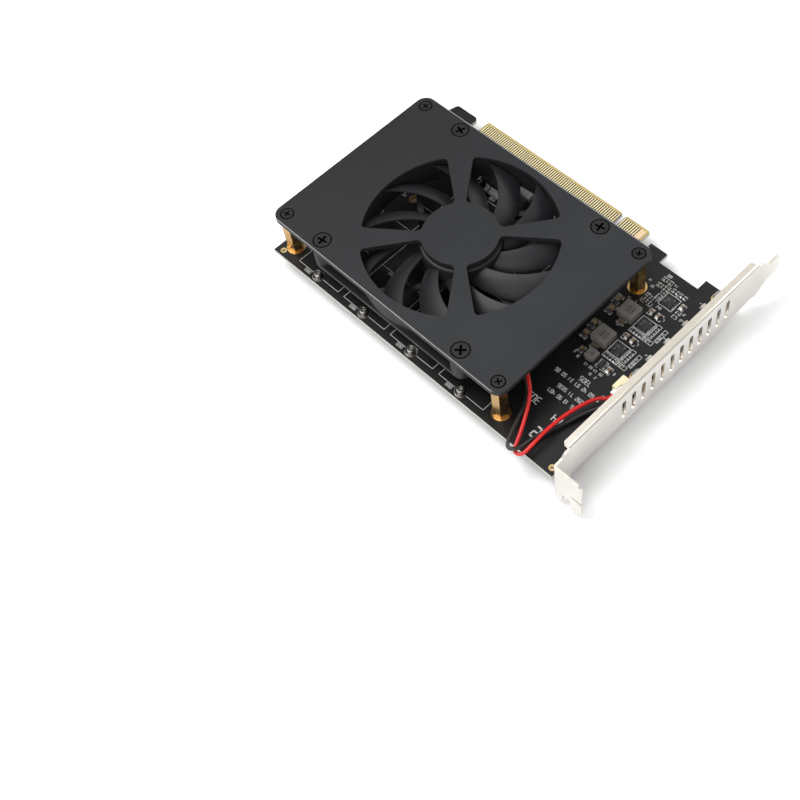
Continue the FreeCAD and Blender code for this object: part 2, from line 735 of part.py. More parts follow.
def fan_frame():
    low = FAN_LOW
    top = FAN_TOP
    half = FAN_SIDE / 2.0
    wall = cyl(FAN_CX, FAN_CY, low, top, DUCT_R + DUCT_WALL)
    flange = rounded_rect(FAN_CX, FAN_CY, FAN_SIDE, FAN_SIDE, FAN_CORNER_R, low, low + FLANGE_T)
    solids = [wall, flange]
    for k, (hx, hy) in enumerate(fan_holes()):
        solids.append(cyl(hx, hy, low, top, FAN_CORNER_R))
        a = math.degrees(math.atan2(hy - FAN_CY, hx - FAN_CX))
        reach = FAN_HOLE_HALF * math.sqrt(2.0)
        web = box(DUCT_R + 0.5, reach - 1.0, -WEB_W / 2, WEB_W / 2, low, top)
        web.rotate(V(0, 0, 0), V(0, 0, 1), a)
        web.translate(V(FAN_CX, FAN_CY, 0))
        solids.append(web)
    x_out = FAN_CX + half
    solids.append(box(x_out - 7.5, x_out, WIRE_BLOCK_Y0, WIRE_BLOCK_Y1, low, low + WIRE_BLOCK_H))
    shell = fuse_all(solids).cut(cyl(FAN_CX, FAN_CY, low - 1, top + 1, DUCT_R))
    inner = [cyl(FAN_CX, FAN_CY, low, low + BASE_T, BASE_R)]
    inner.append(cyl(FAN_CX, FAN_CY, low, TUBE_TOP, TUBE_R))
    for k in range(STRUT_COUNT):
        inner.append(fan_strut(STRUT_LEAD_DEG - 360.0 / STRUT_COUNT * k, low))
    body = fuse_all([shell] + inner)
    cuts = [cyl(FAN_CX, FAN_CY, low + BASE_T, top + 1, BUSH_R)]
    for hx, hy in fan_holes():
        cuts.append(cyl(hx, hy, low - 1, top + 1, FAN_HOLE_R))
    save("fan_frame", [body.cut(Part.makeCompound(cuts))])


def fan_motor():
    low = FAN_LOW
    top = FAN_TOP
    z_pcb = low + BASE_T
    z_core = z_pcb + PCB_T + 0.6
    gap = RUN_GAP
    bush = cyl(FAN_CX, FAN_CY, low + BASE_T, TUBE_TOP, BUSH_R - gap)
    bush = bush.cut(cyl(FAN_CX, FAN_CY, low, top, SHAFT_R + gap))
    save("fan_bearing", [bush])
    pcb = cyl(FAN_CX, FAN_CY, z_pcb, z_pcb + PCB_T, PCB_R)
    pcb = pcb.cut(cyl(FAN_CX, FAN_CY, low, top, TUBE_R + gap))
    save("fan_circuit", [pcb])
    rotor_in = HUB_R - HUB_WALL - gap - YOKE_T - gap - MAGNET_T
    pole_r = rotor_in - AIR_GAP
    collar = cyl(FAN_CX, FAN_CY, z_pcb + PCB_T, z_core, TUBE_R + 1.2)
    core = [collar, cyl(FAN_CX, FAN_CY, z_core, z_core + STATOR_H - 0.8, TUBE_R + 1.6)]
    coils = []
    for k in range(4):
        a = 45.0 + 90.0 * k
        arm = box(0.0, pole_r - 1.0, -1.1, 1.1, z_core + 0.5, z_core + STATOR_H - 1.3)
        shoe = cyl(0, 0, z_core, z_core + STATOR_H - 0.8, pole_r)
        shoe = shoe.cut(cyl(0, 0, z_core - 1, z_core + STATOR_H, pole_r - 1.2))
        shoe = shoe.common(box(0, pole_r + 1, -5.2, 5.2, z_core - 1, z_core + STATOR_H))
        coil = box(TUBE_R + 1.9, pole_r - 1.8, -2.6, 2.6, z_core - 0.3, z_core + STATOR_H - 0.5)
        coil = coil.cut(box(0, pole_r, -1.15, 1.15, z_core + 0.45, z_core + STATOR_H - 1.25))
        for s in (arm, shoe, coil):
            s.rotate(V(0, 0, 0), V(0, 0, 1), a)
            s.translate(V(FAN_CX, FAN_CY, 0))
        core += [arm, shoe]
        coils.append(coil)
    core = fuse_all(core).cut(cyl(FAN_CX, FAN_CY, low, top + 1, TUBE_R + gap))
    save("fan_stator", [core])
    save("fan_coils", coils)
    return rotor_in


def blade_section(r, lead_deg, z_top, z_low):
    # thin cambered strip in the plane square to the radius: two arcs with blunt ends
    span = BLADE_SPAN_ROOT + BLADE_SPAN_RISE * r
    lead = math.radians(lead_deg)
    z_mid = z_low + BLADE_SAG * (z_top - z_low)
    mid = span * 0.5
    heel = BLADE_T * 0.55
    ring = [
        (0.0, z_top),
        (mid, z_mid),
        (span, z_low),
        (span + 0.3 * BLADE_T, z_low + heel),
        (mid + heel, z_mid + BLADE_T * 0.85),
        (0.4 * BLADE_T, z_top + 0.1 * BLADE_T),
    ]
    p = []
    for s, z in ring:
        a = lead - mid / r
        off = mid - s
        x = r * math.cos(a) - off * math.sin(a)
        y = r * math.sin(a) + off * math.cos(a)
        p.append(V(FAN_CX + x, FAN_CY + y, z))
    return Part.Wire([
        Part.Arc(p[0], p[1], p[2]).toShape(),
        Part.LineSegment(p[2], p[3]).toShape(),
        Part.Arc(p[3], p[4], p[5]).toShape(),
        Part.LineSegment(p[5], p[0]).toShape(),
    ])


def fan_blade(inner_limit):
    # one blade, swept forward from the hub to the tip and trimmed to the running circle
    root = HUB_R - 0.6
    tip = BLADE_TIP_R + 0.6
    wires = []
    for k in range(BLADE_SECTIONS):
        u = k / (BLADE_SECTIONS - 1.0)
        r = root + (tip - root) * u
        top = FAN_TOP - BLADE_ROOT_DROP + (BLADE_ROOT_DROP - BLADE_TIP_DROP) * u
        lead = BLADE_START_DEG + BLADE_SWEEP * (r - BLADE_MID_R)
        wires.append(blade_section(r, lead, top, FAN_LOW + BLADE_LOW_RISE))
    blade = Part.makeLoft(wires, True, False)
    limit = cyl(FAN_CX, FAN_CY, FAN_LOW, FAN_TOP, BLADE_TIP_R)
    return blade.common(limit.cut(inner_limit))


def fan_rotor(rotor_in):
    low = FAN_LOW
    top = FAN_TOP
    z_top = top - HUB_TOP_GAP
    z_skirt = low + BASE_T + HUB_SKIRT_GAP
    z_roof = z_top - HUB_TOP_T
    gap = RUN_GAP
    hub = cyl(FAN_CX, FAN_CY, z_skirt, z_top - 0.6, HUB_R)
    hub = hub.fuse(cone(FAN_CX, FAN_CY, z_top - 0.6, z_top, HUB_R, HUB_R - 0.6))
    hub = hub.cut(cyl(FAN_CX, FAN_CY, z_skirt - 1, z_roof, HUB_R - HUB_WALL))
    blade = fan_blade(cyl(FAN_CX, FAN_CY, low, z_roof, HUB_R - HUB_WALL / 2))
    blades = []
    for k in range(BLADE_COUNT):
        copy = blade.copy()
        copy.rotate(V(FAN_CX, FAN_CY, 0), V(0, 0, 1), 360.0 / BLADE_COUNT * k)
        blades.append(copy)
    rotor = fuse_all([hub] + blades)
    core = cyl(FAN_CX, FAN_CY, TUBE_TOP + CORE_GAP, z_roof + 0.1, SHAFT_R + CORE_WALL)
    rotor = rotor.fuse(core).cut(cyl(FAN_CX, FAN_CY, low, z_roof, SHAFT_R + gap))
    save("fan_rotor", [rotor.removeSplitter()])
    r_yoke = HUB_R - HUB_WALL - gap
    yoke = cyl(FAN_CX, FAN_CY, z_skirt + 0.2, z_roof, r_yoke)
    yoke = yoke.cut(cyl(FAN_CX, FAN_CY, low, z_roof - 0.7, r_yoke - YOKE_T))
    yoke = yoke.cut(cyl(FAN_CX, FAN_CY, low, top, SHAFT_R + CORE_WALL + 0.3))
    save("fan_yoke", [yoke])
    z_mag = z_roof - 0.7
    ring = cyl(FAN_CX, FAN_CY, z_skirt + 0.4, z_mag, r_yoke - YOKE_T - gap)
    ring = ring.cut(cyl(FAN_CX, FAN_CY, low, top, rotor_in))
    save("fan_magnet", [ring])
    shaft = cyl(FAN_CX, FAN_CY, low + BASE_T + 0.2, z_roof, SHAFT_R)
    save("fan_shaft", [shaft])


def m2_connectors():
    for i, bx in enumerate(BAY_X):
        y_peg = -PEG_DROP
        y0 = y_peg - CONN_FRONT
        y1 = y_peg + CONN_BACK
        body = box(bx - CONN_W / 2, bx + CONN_W / 2, y0, y1, 0.0, CONN_H)
        chop = []
        s0 = MODULE_Z - 0.05
        half = MODULE_SLOT_W / 2.0
        chop.append(box(bx - half, bx + half, y0 - 1, y0 + MODULE_SLOT_DEEP, s0, s0 + MODULE_SLOT_H))
        chop.append(box(bx - CONN_W, bx + CONN_W, y1 - 1.1, y1 + 1, CONN_H - 1.2, CONN_H + 1))
        chop.append(box(bx - half, bx + half, y0 - 1, y0 + 0.5, -1, s0 + 0.2))
        body = body.cut(Part.makeCompound(chop))
        kx = bx + KEY_TAB_X
        key = box(kx - KEY_TAB_W / 2, kx + KEY_TAB_W / 2, y0 + 0.6, y0 + MODULE_SLOT_DEEP + 0.2,
                  s0 - 0.2, s0 + MODULE_SLOT_H + 0.2)
        pegs = []
        for side, r in ((1, PEG_BIG_R), (-1, PEG_SMALL_R)):
            px = bx + side * PEG_HALF_PITCH
            pegs.append(cyl(px, y_peg, -BOARD_T + 0.3, 0.3, r))
        save("m2_connector_%d" % (i + 1), [fuse_all([body, key] + pegs)])


def m2_nuts():
    nuts = []
    for bx in BAY_X:
        y = -ROW_2280
        base = cyl(bx, y, 0.0, NUT_BASE_T, NUT_BASE_R)
        neck = cyl(bx, y, NUT_BASE_T, MODULE_Z, NUT_NECK_R)
        nut = fuse_all([base, neck])
        nuts.append(nut.cut(cyl(bx, y, -1, MODULE_Z + 1, NUT_BORE_R)))
    save("m2_nuts", nuts)


def chip(x, y, w, d, h):
    return box(x - w / 2, x + w / 2, y - d / 2, y + d / 2, 0.0, h)


def chips(places, size):
    return [chip(x, y, *size) for x, y in places]


def board_components():
    coils = []
    for body in chips(COIL_AT, COIL_SIZE):
        upright = [e for e in body.Edges if abs(e.Vertexes[0].Z - e.Vertexes[1].Z) > 1]
        coils.append(body.makeFillet(COIL_CORNER_R, upright))
    save("power_inductors", coils)
    save("small_inductor", chips(SMALL_COIL_AT, SMALL_COIL_SIZE))
    save("power_chips", chips(CHIP_AT, CHIP_SIZE) + chips(SOT_AT, SOT_SIZE))
    caps = chips(BIG_CAP_AT, BIG_CAP_SIZE)
    caps += chips(FLAT_CAP_AT, FLAT_CAP_SIZE)
    caps += chips(TALL_CAP_AT, TALL_CAP_SIZE)
    save("chip_capacitors", caps)
    res = []
    for x, y, count in RES_ROWS:
        for k in range(count):
            res.append(chip(x + RES_PITCH * k, y, *RES_SIZE))
    for x, y, count in RES_COLUMNS:
        for k in range(count):
            res.append(chip(x, y + RES_PITCH * k, RES_SIZE[1], RES_SIZE[0], RES_SIZE[2]))
    save("chip_resistors", res)
    save("status_leds", [chip(LED_X, y, *LED_SIZE) for y in LED_Y])


def fan_header():
    x0 = HEADER_X - HEADER_W / 2
    x1 = HEADER_X + HEADER_W / 2
    w = HEADER_WALL
    body = box(x0, x1, HEADER_Y0, HEADER_Y1, 0.0, HEADER_H)
    mouth = box(x0 + w, x1 - w, HEADER_Y0 - 1, HEADER_Y0 + HEADER_MOUTH, w, HEADER_H - w)
    notch = box(HEADER_X - 1.0, HEADER_X + 1.0, HEADER_Y0 - 1, HEADER_Y0 + 2.4,
                HEADER_H - w - 0.5, HEADER_H + 1)
    body = body.cut(mouth).cut(notch)
    pins = []
    z_pin = HEADER_H / 2.0
    for k in (-0.5, 0.5):
        px = HEADER_X + k * PIN_PITCH
        body = body.cut(box(px - PIN_HALF, px + PIN_HALF, HEADER_Y0, HEADER_Y1 - 0.6, z_pin - PIN_HALF,
                            z_pin + PIN_HALF))
        body = body.cut(box(px - PIN_HALF, px + PIN_HALF, HEADER_Y1 - 1.2, HEADER_Y1 - 0.6, -1,
                            z_pin + PIN_HALF))
        flat = box(px - PIN_HALF, px + PIN_HALF, HEADER_Y0 + 0.8, HEADER_Y1 - 0.6, z_pin - PIN_HALF,
                   z_pin + PIN_HALF)
        leg = box(px - PIN_HALF, px + PIN_HALF, HEADER_Y1 - 1.1, HEADER_Y1 - 0.6, -BOARD_T - 0.6, z_pin)
        pins.append(flat.fuse(leg).removeSplitter())
    save("fan_header", [body])
    save("header_pins", pins)


def fan_plug():
    x0 = HEADER_X - HEADER_W / 2 + HEADER_WALL + PLUG_GAP
    x1 = HEADER_X + HEADER_W / 2 - HEADER_WALL - PLUG_GAP
    z0 = HEADER_WALL + PLUG_GAP
    z1 = HEADER_H - HEADER_WALL - PLUG_GAP
    y_in = HEADER_Y0 + HEADER_MOUTH - 0.2
    y_out = HEADER_Y0 - PLUG_OUT
    body = box(x0, x1, y_out, y_in, z0, z1)
    rib = box(HEADER_X - 0.9, HEADER_X + 0.9, y_out, HEADER_Y0 + 2.2, z1 - 0.1, z1 + 0.6)
    body = body.fuse(rib).removeSplitter()
    for k in (-0.5, 0.5):
        px = HEADER_X + k * PIN_PITCH
        h = PIN_HALF + 0.1
        body = body.cut(box(px - h, px + h, y_out + 1.4, y_in + 1, HEADER_H / 2 - h, HEADER_H / 2 + h))
    save("fan_plug", [body])


def wire_path(points):
    pts = [V(*p) for p in points]
    edges = []
    radii = []
    last = pts[0]
    for i in range(1, len(pts) - 1):
        a = pts[i - 1] - pts[i]
        b = pts[i + 1] - pts[i]
        la = a.Length
        lb = b.Length
        a.normalize()
        b.normalize()
        turn = math.pi - a.getAngle(b)
        cut = 0.45 * min(la, lb)
        r = cut / math.tan(turn / 2.0)
        radii.append(r)
        p0 = pts[i] + a * cut
        p1 = pts[i] + b * cut
        mid_dir = a + b
        mid_dir.normalize()
        reach = r / math.cos(turn / 2.0) - r
        pm = pts[i] + mid_dir * reach
        edges.append(Part.LineSegment(last, p0).toShape())
        edges.append(Part.Arc(p0, pm, p1).toShape())
        last = p1
    edges.append(Part.LineSegment(last, pts[-1]).toShape())
    return Part.Wire(edges), radii


def lead_wire(name, points):
    path, radii = wire_path(points)
    start = V(*points[0])
    direction = V(*points[1]) - start
    ring = Part.Wire(Part.makeCircle(WIRE_R, start, direction))
    tube = path.makePipeShell([ring], True, False, 2)
    want = math.pi * WIRE_R ** 2 * path.Length
    print("%s length %.1f radii %s volume ratio %.4f" % (
        name, path.Length, " ".join("%.1f" % r for r in radii), tube.Volume / want))
    save(name, [tube])


PLUG_FACE_Y = HEADER_Y0 - PLUG_OUT
PLUG_Z = HEADER_H / 2.0 + WIRE_RISE
RED_X = HEADER_X - PIN_PITCH / 2
BLACK_X = HEADER_X + PIN_PITCH / 2
FAN_WIRE_X = FAN_CX + FAN_SIDE / 2.0
FAN_WIRE_Z = FAN_LOW + WIRE_BLOCK_H / 2.0
RED_Y = WIRE_BLOCK_Y1 - 2.0
BLACK_Y = WIRE_BLOCK_Y0 + 1.4
RED_ROUTE = [
    (RED_X, PLUG_FACE_Y, PLUG_Z),
    (RED_X, PLUG_FACE_Y - 2.3, PLUG_Z),
    (47.8, -69.3, 3.2),
    (45.4, -75.8, 3.4),
    (43.9, -83.7, 3.8),
    (43.7, -91.7, 4.5),
    (44.0, -97.5, 4.5),
    (43.8, -103.8, 3.2),
    (40.5, -104.5, 3.3),
    (39.0, -100.4, 4.2),
    (35.9, -93.6, 6.0),
    (31.9, -86.2, 8.4),
    (25.6, -81.1, 9.8),
    (17.5, RED_Y, FAN_WIRE_Z),
    (FAN_WIRE_X, RED_Y, FAN_WIRE_Z),
]
BLACK_ROUTE = [
    (BLACK_X, PLUG_FACE_Y, PLUG_Z),
    (BLACK_X, PLUG_FACE_Y - 3.0, PLUG_Z),
    (50.7, -70.9, 2.3),
    (47.5, -76.8, 1.7),
    (45.7, -83.7, 1.7),
    (42.5, -91.3, 1.9),
    (41.7, -97.9, 3.4),
    (42.0, -103.7, 5.4),
    (38.9, -106.0, 5.4),
    (36.4, -101.6, 5.5),
    (34.0, -95.0, 5.7),
    (31.8, -88.5, 6.0),
    (28.2, -83.3, 7.2),
    (20.6, -79.6, 8.2),
    (15.6, BLACK_Y, FAN_WIRE_Z),
    (FAN_WIRE_X, BLACK_Y, FAN_WIRE_Z),
]

circuit_board()
edge_contacts()
bracket()
bracket_fixings()
cover_standoffs()
cover_plate()
cover_fixings()
fan_frame()
inner_r = fan_motor()
fan_rotor(inner_r)
m2_connectors()
m2_nuts()
board_components()
fan_header()
fan_plug()
lead_wire("red_wire", RED_ROUTE)
lead_wire("black_wire", BLACK_ROUTE)
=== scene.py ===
import bpy
import bmesh
import json
import math
from mathutils import Matrix, Vector


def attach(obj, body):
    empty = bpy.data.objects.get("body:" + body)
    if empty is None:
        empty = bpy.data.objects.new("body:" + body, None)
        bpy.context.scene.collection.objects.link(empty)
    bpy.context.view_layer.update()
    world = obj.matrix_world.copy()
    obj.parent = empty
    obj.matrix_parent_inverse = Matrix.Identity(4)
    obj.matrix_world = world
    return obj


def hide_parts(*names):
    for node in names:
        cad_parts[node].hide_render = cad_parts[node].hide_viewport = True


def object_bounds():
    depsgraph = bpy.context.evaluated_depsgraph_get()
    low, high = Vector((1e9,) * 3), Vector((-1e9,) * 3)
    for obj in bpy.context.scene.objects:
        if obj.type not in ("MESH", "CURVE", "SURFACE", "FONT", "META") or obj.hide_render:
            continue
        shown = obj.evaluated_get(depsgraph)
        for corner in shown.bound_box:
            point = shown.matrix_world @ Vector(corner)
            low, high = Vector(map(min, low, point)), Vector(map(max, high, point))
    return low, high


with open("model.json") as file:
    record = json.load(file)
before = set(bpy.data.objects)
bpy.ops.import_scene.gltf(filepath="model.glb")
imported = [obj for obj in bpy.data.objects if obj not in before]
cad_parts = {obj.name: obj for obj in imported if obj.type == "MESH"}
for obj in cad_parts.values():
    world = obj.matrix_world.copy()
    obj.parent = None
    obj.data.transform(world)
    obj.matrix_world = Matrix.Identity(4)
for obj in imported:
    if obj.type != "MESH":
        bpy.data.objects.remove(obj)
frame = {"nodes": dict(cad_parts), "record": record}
cad_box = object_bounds()
nodes = frame["nodes"]
scene = bpy.context.scene
MM = 0.001

# ------------------------------------------------------------------ the model's places and sizes
# all in millimetres: x runs to the bracket, y to the contact tips, z up from the component face
BOARD_T = 1.6
TONGUE_Y = -5.75                         # the board has no mask past this line
TONGUE_X = (-72.7, 12.7)
CONTACTS_X = (-71.95, 11.95)             # ends of the contact rows
END_CONTACT_X = 9.1                      # the contact past this line is wider than the rest
BAYS = (9.24, -16.0, -41.3, -66.5)       # middle of each drive bay
BAY_HALF = 11.0
BAY_END_Y = -28.2
ROWS = (-98.55, -78.55, -60.55, -48.55)  # the drive nuts, then the three open holes of a bay
SOCKET_FRONT_Y = -25.1
SOCKET_BACK_Y = -16.4
PEG_Y = -20.3
PEGS = ((10.0, 0.8), (-10.0, 0.55))      # from a bay's middle, and radius
POSTS = ((25.45, -22.8), (25.45, -94.8), (-83.55, -22.8), (-83.55, -94.8))
LUGS = ((52.0, -7.5), (52.0, -52.6))
TOOLING_HOLES = ((53.2, -98.9), (-86.6, -13.9), (-85.8, -99.3))
PLATE_MID = (-29.05, -58.8)
PLATE_HALF_Y = 40.5
PLATE_TOP = 20.0
COVER_SCREWS = (54.5, 36.0)              # from the plate's middle
COVER_SCREW_R = 2.65
FAN = (-28.6, -58.6)
FAN_SCREWS = (35.75, 35.75)              # from the fan's middle
FAN_SCREW_R = 3.55

# small parts on the open end of the board, each by its middle
CHIPS = ((38.7, -20.7), (38.6, -34.1), (38.6, -48.3))
CHIP_TOP = 0.9
INDUCTORS = ((31.3, -33.9), (31.4, -48.2))
INDUCTOR_TOP = 3.0
SMALL_INDUCTOR = (33.3, -56.6)
SMALL_INDUCTOR_TOP = 2.0
SIX_LEG_PART = (38.4, -57.0)
LARGE_CAPS = ((24.0, -31.9), (25.0, -36.9), (24.6, -45.6), (25.4, -50.8))
WIDE_CAPS = ((31.4, -38.6), (31.2, -52.8))
SMALL_CAPS = ((37.2, -28.2), (39.8, -28.2), (37.3, -42.2), (39.9, -42.2), (28.7, -56.8),
              (41.8, -57.3), (43.8, -19.4))
LIGHTS = ((49.1, -13.8), (49.1, -23.9), (49.1, -34.1), (49.1, -43.8))
# resistors: the first of a line and how many, in lines along x and along y
RESISTOR_STEP = 1.3
RESISTORS_X = ((36.7, -38.7, 4), (36.7, -53.0, 4), (31.1, -25.6, 3), (31.1, -23.4, 3),
               (31.0, -16.9, 3), (31.0, -13.6, 3), (36.9, -15.5, 2), (40.4, -15.5, 2))
RESISTORS_Y = ((43.1, -36.4, 4), (43.1, -50.6, 4), (34.3, -21.6, 5), (44.2, -24.0, 2))

# ------------------------------------------------------------------ camera
CAMERA_PLACE = (206.07, -252.61, 403.69)
cam_data = bpy.data.cameras.new("camera")
cam_data.sensor_width = 36.0
cam_data.lens = 60.691
cam_data.shift_x = -0.0874
cam_data.shift_y = -0.1333
cam_data.clip_start = 0.01
cam_data.clip_end = 10.0
cam = bpy.data.objects.new("camera", cam_data)
scene.collection.objects.link(cam)
back = Vector((0.45040, -0.37445, 0.81051))
up = back.cross(Vector((0.70922, 0.70150, -0.07003))).normalized()
right = up.cross(back).normalized()
facing = Matrix((right, up, back)).transposed().to_4x4()
cam.matrix_world = Matrix.Translation(Vector(CAMERA_PLACE) * MM) @ facing
scene.camera = cam


# ------------------------------------------------------------------ materials


class Nodes:
    """One material's node tree, with a short call for each kind of node that it uses."""

    def __init__(self, name):
        self.mat = bpy.data.materials.new(name)
        self.mat.use_nodes = True
        self.tree = self.mat.node_tree
        self.bsdf = self.tree.nodes["Principled BSDF"]
        self.coord = self.tree.nodes.new("ShaderNodeTexCoord")

    def add(self, kind, **values):
        node = self.tree.nodes.new(kind)
        for key, value in values.items():
            setattr(node, key, value)
        return node

    def link(self, a, b):
        self.tree.links.new(a, b)

    def noise(self, scale, detail=3.0, stretch=(1, 1, 1)):
        mapping = self.add("ShaderNodeMapping")
        mapping.inputs["Scale"].default_value = stretch
        self.link(self.coord.outputs["Object"], mapping.inputs["Vector"])
        tex = self.add("ShaderNodeTexNoise")
        tex.inputs["Scale"].default_value = scale
        tex.inputs["Detail"].default_value = detail
        self.link(mapping.outputs[0], tex.inputs["Vector"])
        return tex.outputs["Fac"]

    def ramp(self, fac, start=0.3, end=0.7, low=0.0, high=1.0):
        ramp = self.add("ShaderNodeMapRange")
        ramp.inputs["From Min"].default_value = start
        ramp.inputs["From Max"].default_value = end
        ramp.inputs["To Min"].default_value = low
        ramp.inputs["To Max"].default_value = high
        self.link(fac, ramp.inputs["Value"])
        return ramp.outputs[0]

    def mix(self, fac, a, b):
        mix = self.add("ShaderNodeMix", data_type="RGBA")
        self.link(fac, mix.inputs[0])
        for socket, value in ((mix.inputs[6], a), (mix.inputs[7], b)):
            if isinstance(value, tuple):
                socket.default_value = (*value, 1.0)
            else:
                self.link(value, socket)
        return mix.outputs[2]

    def tones(self, scale, dark, light, stretch=(1, 1, 1)):
        # two colours in soft blotches
        return self.mix(self.ramp(self.noise(scale, stretch=stretch)), dark, light)

    def math(self, operation, a, b=0.0):
        node = self.add("ShaderNodeMath", operation=operation)
        for socket, value in zip(node.inputs, (a, b)):
            if isinstance(value, float):
                socket.default_value = value
            else:
                self.link(value, socket)
        return node.outputs[0]

    def place(self, axes):
        split = self.add("ShaderNodeSeparateXYZ")
        self.link(self.coord.outputs["Object"], split.inputs[0])
        return [split.outputs[axis] for axis in axes]

    def off(self, value, middle):
        # distance along one axis from a middle in mm
        return self.math("ABSOLUTE", self.math("SUBTRACT", value, middle * MM))

    def from_corners(self, mid, half):
        # distance to the nearest of four points set out round a middle, all in mm
        squares = []
        for value, middle, reach in zip(self.place("XY"), mid, half):
            miss = self.math("SUBTRACT", self.off(value, middle), reach * MM)
            squares.append(self.math("MULTIPLY", miss, miss))
        return self.math("SQRT", self.math("ADD", *squares))

    def facing_up(self):
        # 1 on faces that look up or down, 0 on upright ones
        geometry = self.add("ShaderNodeNewGeometry")
        split = self.add("ShaderNodeSeparateXYZ")
        self.link(geometry.outputs["True Normal"], split.inputs[0])
        return self.math("ABSOLUTE", split.outputs["Z"])

    def coat(self):
        return self.bsdf.inputs["Base Color"].links[0].from_socket

    def colour(self, tone):
        self.link(tone, self.bsdf.inputs["Base Color"])

    def finish(self, grain, rough, strength, depth):
        # the same fine noise drives the gloss and the bump
        gloss = self.ramp(grain, 0.25, 0.75, *rough)
        self.link(gloss, self.bsdf.inputs["Roughness"])
        bump = self.add("ShaderNodeBump")
        bump.inputs["Strength"].default_value = strength
        bump.inputs["Distance"].default_value = depth
        self.link(grain, bump.inputs["Height"])
        self.link(bump.outputs[0], self.bsdf.inputs["Normal"])


def surface(name, dark, light, rough, metallic=0.0, specular=0.5, blotch=120.0, grain=6000.0,
            strength=0.3, depth=0.00001, stretch=(1, 1, 1)):
    """Two tones in soft blotches, with a fine grain that changes the gloss a little."""
    n = Nodes(name)
    n.colour(n.tones(blotch, dark, light, stretch))
    n.finish(n.noise(grain, 2.0, stretch), rough, strength, depth)
    n.bsdf.inputs["Metallic"].default_value = metallic
    n.bsdf.inputs["Specular IOR Level"].default_value = specular
    return n


def board_material():
    # black mask on the faces, bare laminate on the cut edges, the slope and past the ends of the
    # contact rows, and the laminate round the contacts darkened to dark brown with painted shade
    n = Nodes("board_black")
    up = n.facing_up()
    x, y = n.place("XY")
    mask = n.tones(90.0, (0.0050, 0.0050, 0.0050), (0.0078, 0.0078, 0.0076))
    edge = n.tones(900.0, (0.34, 0.335, 0.29), (0.54, 0.535, 0.48), (0.15, 0.15, 6.0))
    bare = n.tones(700.0, (0.40, 0.31, 0.11), (0.52, 0.42, 0.17), (0.3, 3.0, 3.0))
    # painted shade: the dark brown that the laminate takes between and round the contacts
    painted_gap_shade = n.tones(700.0, (0.018, 0.010, 0.002), (0.03, 0.018, 0.004))
    past_contacts = n.math("MAXIMUM", n.math("LESS_THAN", x, CONTACTS_X[0] * MM),
                           n.math("GREATER_THAN", x, CONTACTS_X[1] * MM))
    on_tongue = n.math("MULTIPLY", n.math("GREATER_THAN", x, TONGUE_X[0] * MM),
                       n.math("LESS_THAN", x, TONGUE_X[1] * MM))
    on_tongue = n.math("MULTIPLY", on_tongue, n.math("GREATER_THAN", y, TONGUE_Y * MM))
    face = n.mix(on_tongue, mask, n.mix(past_contacts, painted_gap_shade, bare))
    side = n.mix(n.ramp(up, 0.5, 0.9), edge, bare)
    n.colour(n.mix(n.ramp(up, 0.985, 0.995), side, face))
    n.finish(n.noise(2600.0, 2.0), (0.34, 0.46), 0.25, 0.00001)
    n.bsdf.inputs["Specular IOR Level"].default_value = 0.28
    return n.mat


def cover_material():
    # grey coat, with painted shade that darkens it away from the bracket, a painted highlight on its
    # long edges, and painted shade, near black, in the screw holes round the heads
    edge_width, hole_margin = 0.3, 0.11
    n = surface("cover_grey", (0.0142, 0.0152, 0.0172), (0.0185, 0.020, 0.0225), (0.46, 0.58),
                specular=0.24, blotch=45.0, grain=9000.0, strength=0.35, depth=0.000012)
    x, y = n.place("XY")
    # painted shade: the coat fades to this darker tone away from the bracket
    painted_shade = n.mix(n.noise(45.0), (0.0095, 0.0098, 0.0104), (0.0125, 0.0130, 0.0138))
    coat = n.mix(n.ramp(x, -0.085, 0.0), painted_shade, n.coat())
    # painted highlight: a pale band on the bevels along the plate's long edges
    edge = n.math("GREATER_THAN", n.off(y, PLATE_MID[1]), (PLATE_HALF_Y - edge_width) * MM)
    edge = n.math("MULTIPLY", edge, n.math("GREATER_THAN", n.facing_up(), 0.2))
    painted_edge_highlight = n.tones(400.0, (0.20, 0.20, 0.205), (0.30, 0.30, 0.305))
    # painted shade: near black in the screw holes, reaching a little past each head's rim
    holes = [n.math("LESS_THAN", n.from_corners(mid, half), (radius + hole_margin) * MM)
             for mid, half, radius in ((PLATE_MID, COVER_SCREWS, COVER_SCREW_R),
                                       (FAN, FAN_SCREWS, FAN_SCREW_R))]
    n.colour(n.mix(n.math("MAXIMUM", *holes), n.mix(edge, coat, painted_edge_highlight), (0.0012, 0.0012, 0.0012)))
    return n.mat


def contact_material():
    # pale gold, browner along the long sides of each contact, redder on the wide one at the end
    pitch, flat_half = 1.0, 0.22
    n = surface("contact_gold", (0.96, 0.84, 0.47), (1.0, 0.92, 0.60), (0.22, 0.34), metallic=0.35,
                blotch=400.0)
    x = n.place("X")[0]
    along = n.math("FRACT", n.math("MULTIPLY", x, 1.0 / (pitch * MM)))
    off = n.math("ABSOLUTE", n.math("SUBTRACT", along, 0.5))
    side = n.math("MULTIPLY", n.math("GREATER_THAN", off, flat_half),
                  n.math("LESS_THAN", x, END_CONTACT_X * MM))
    tone = n.mix(side, n.coat(), (0.25, 0.145, 0.022))
    warm = n.mix(n.noise(400.0), (0.83, 0.60, 0.37), (0.90, 0.66, 0.42))
    n.colour(n.mix(n.math("GREATER_THAN", x, END_CONTACT_X * MM), tone, warm))
    return n.mat


def bracket_material():
    # bright plating, with a painted warm light making the faces that look up a little creamier
    n = surface("bracket_steel", (0.655, 0.63, 0.595), (0.755, 0.73, 0.695), (0.28, 0.42),
                metallic=1.0, blotch=60.0, grain=2500.0, strength=0.25, depth=0.000012,
                stretch=(0.2, 1.0, 1.0))
    # painted light: the warm tone that the up-facing faces get from how the light falls
    painted_warm_light = n.mix(n.noise(60.0), (0.75, 0.70, 0.61), (0.83, 0.775, 0.68))
    n.colour(n.mix(n.ramp(n.facing_up(), 0.6, 0.9), n.coat(), painted_warm_light))
    return n.mat


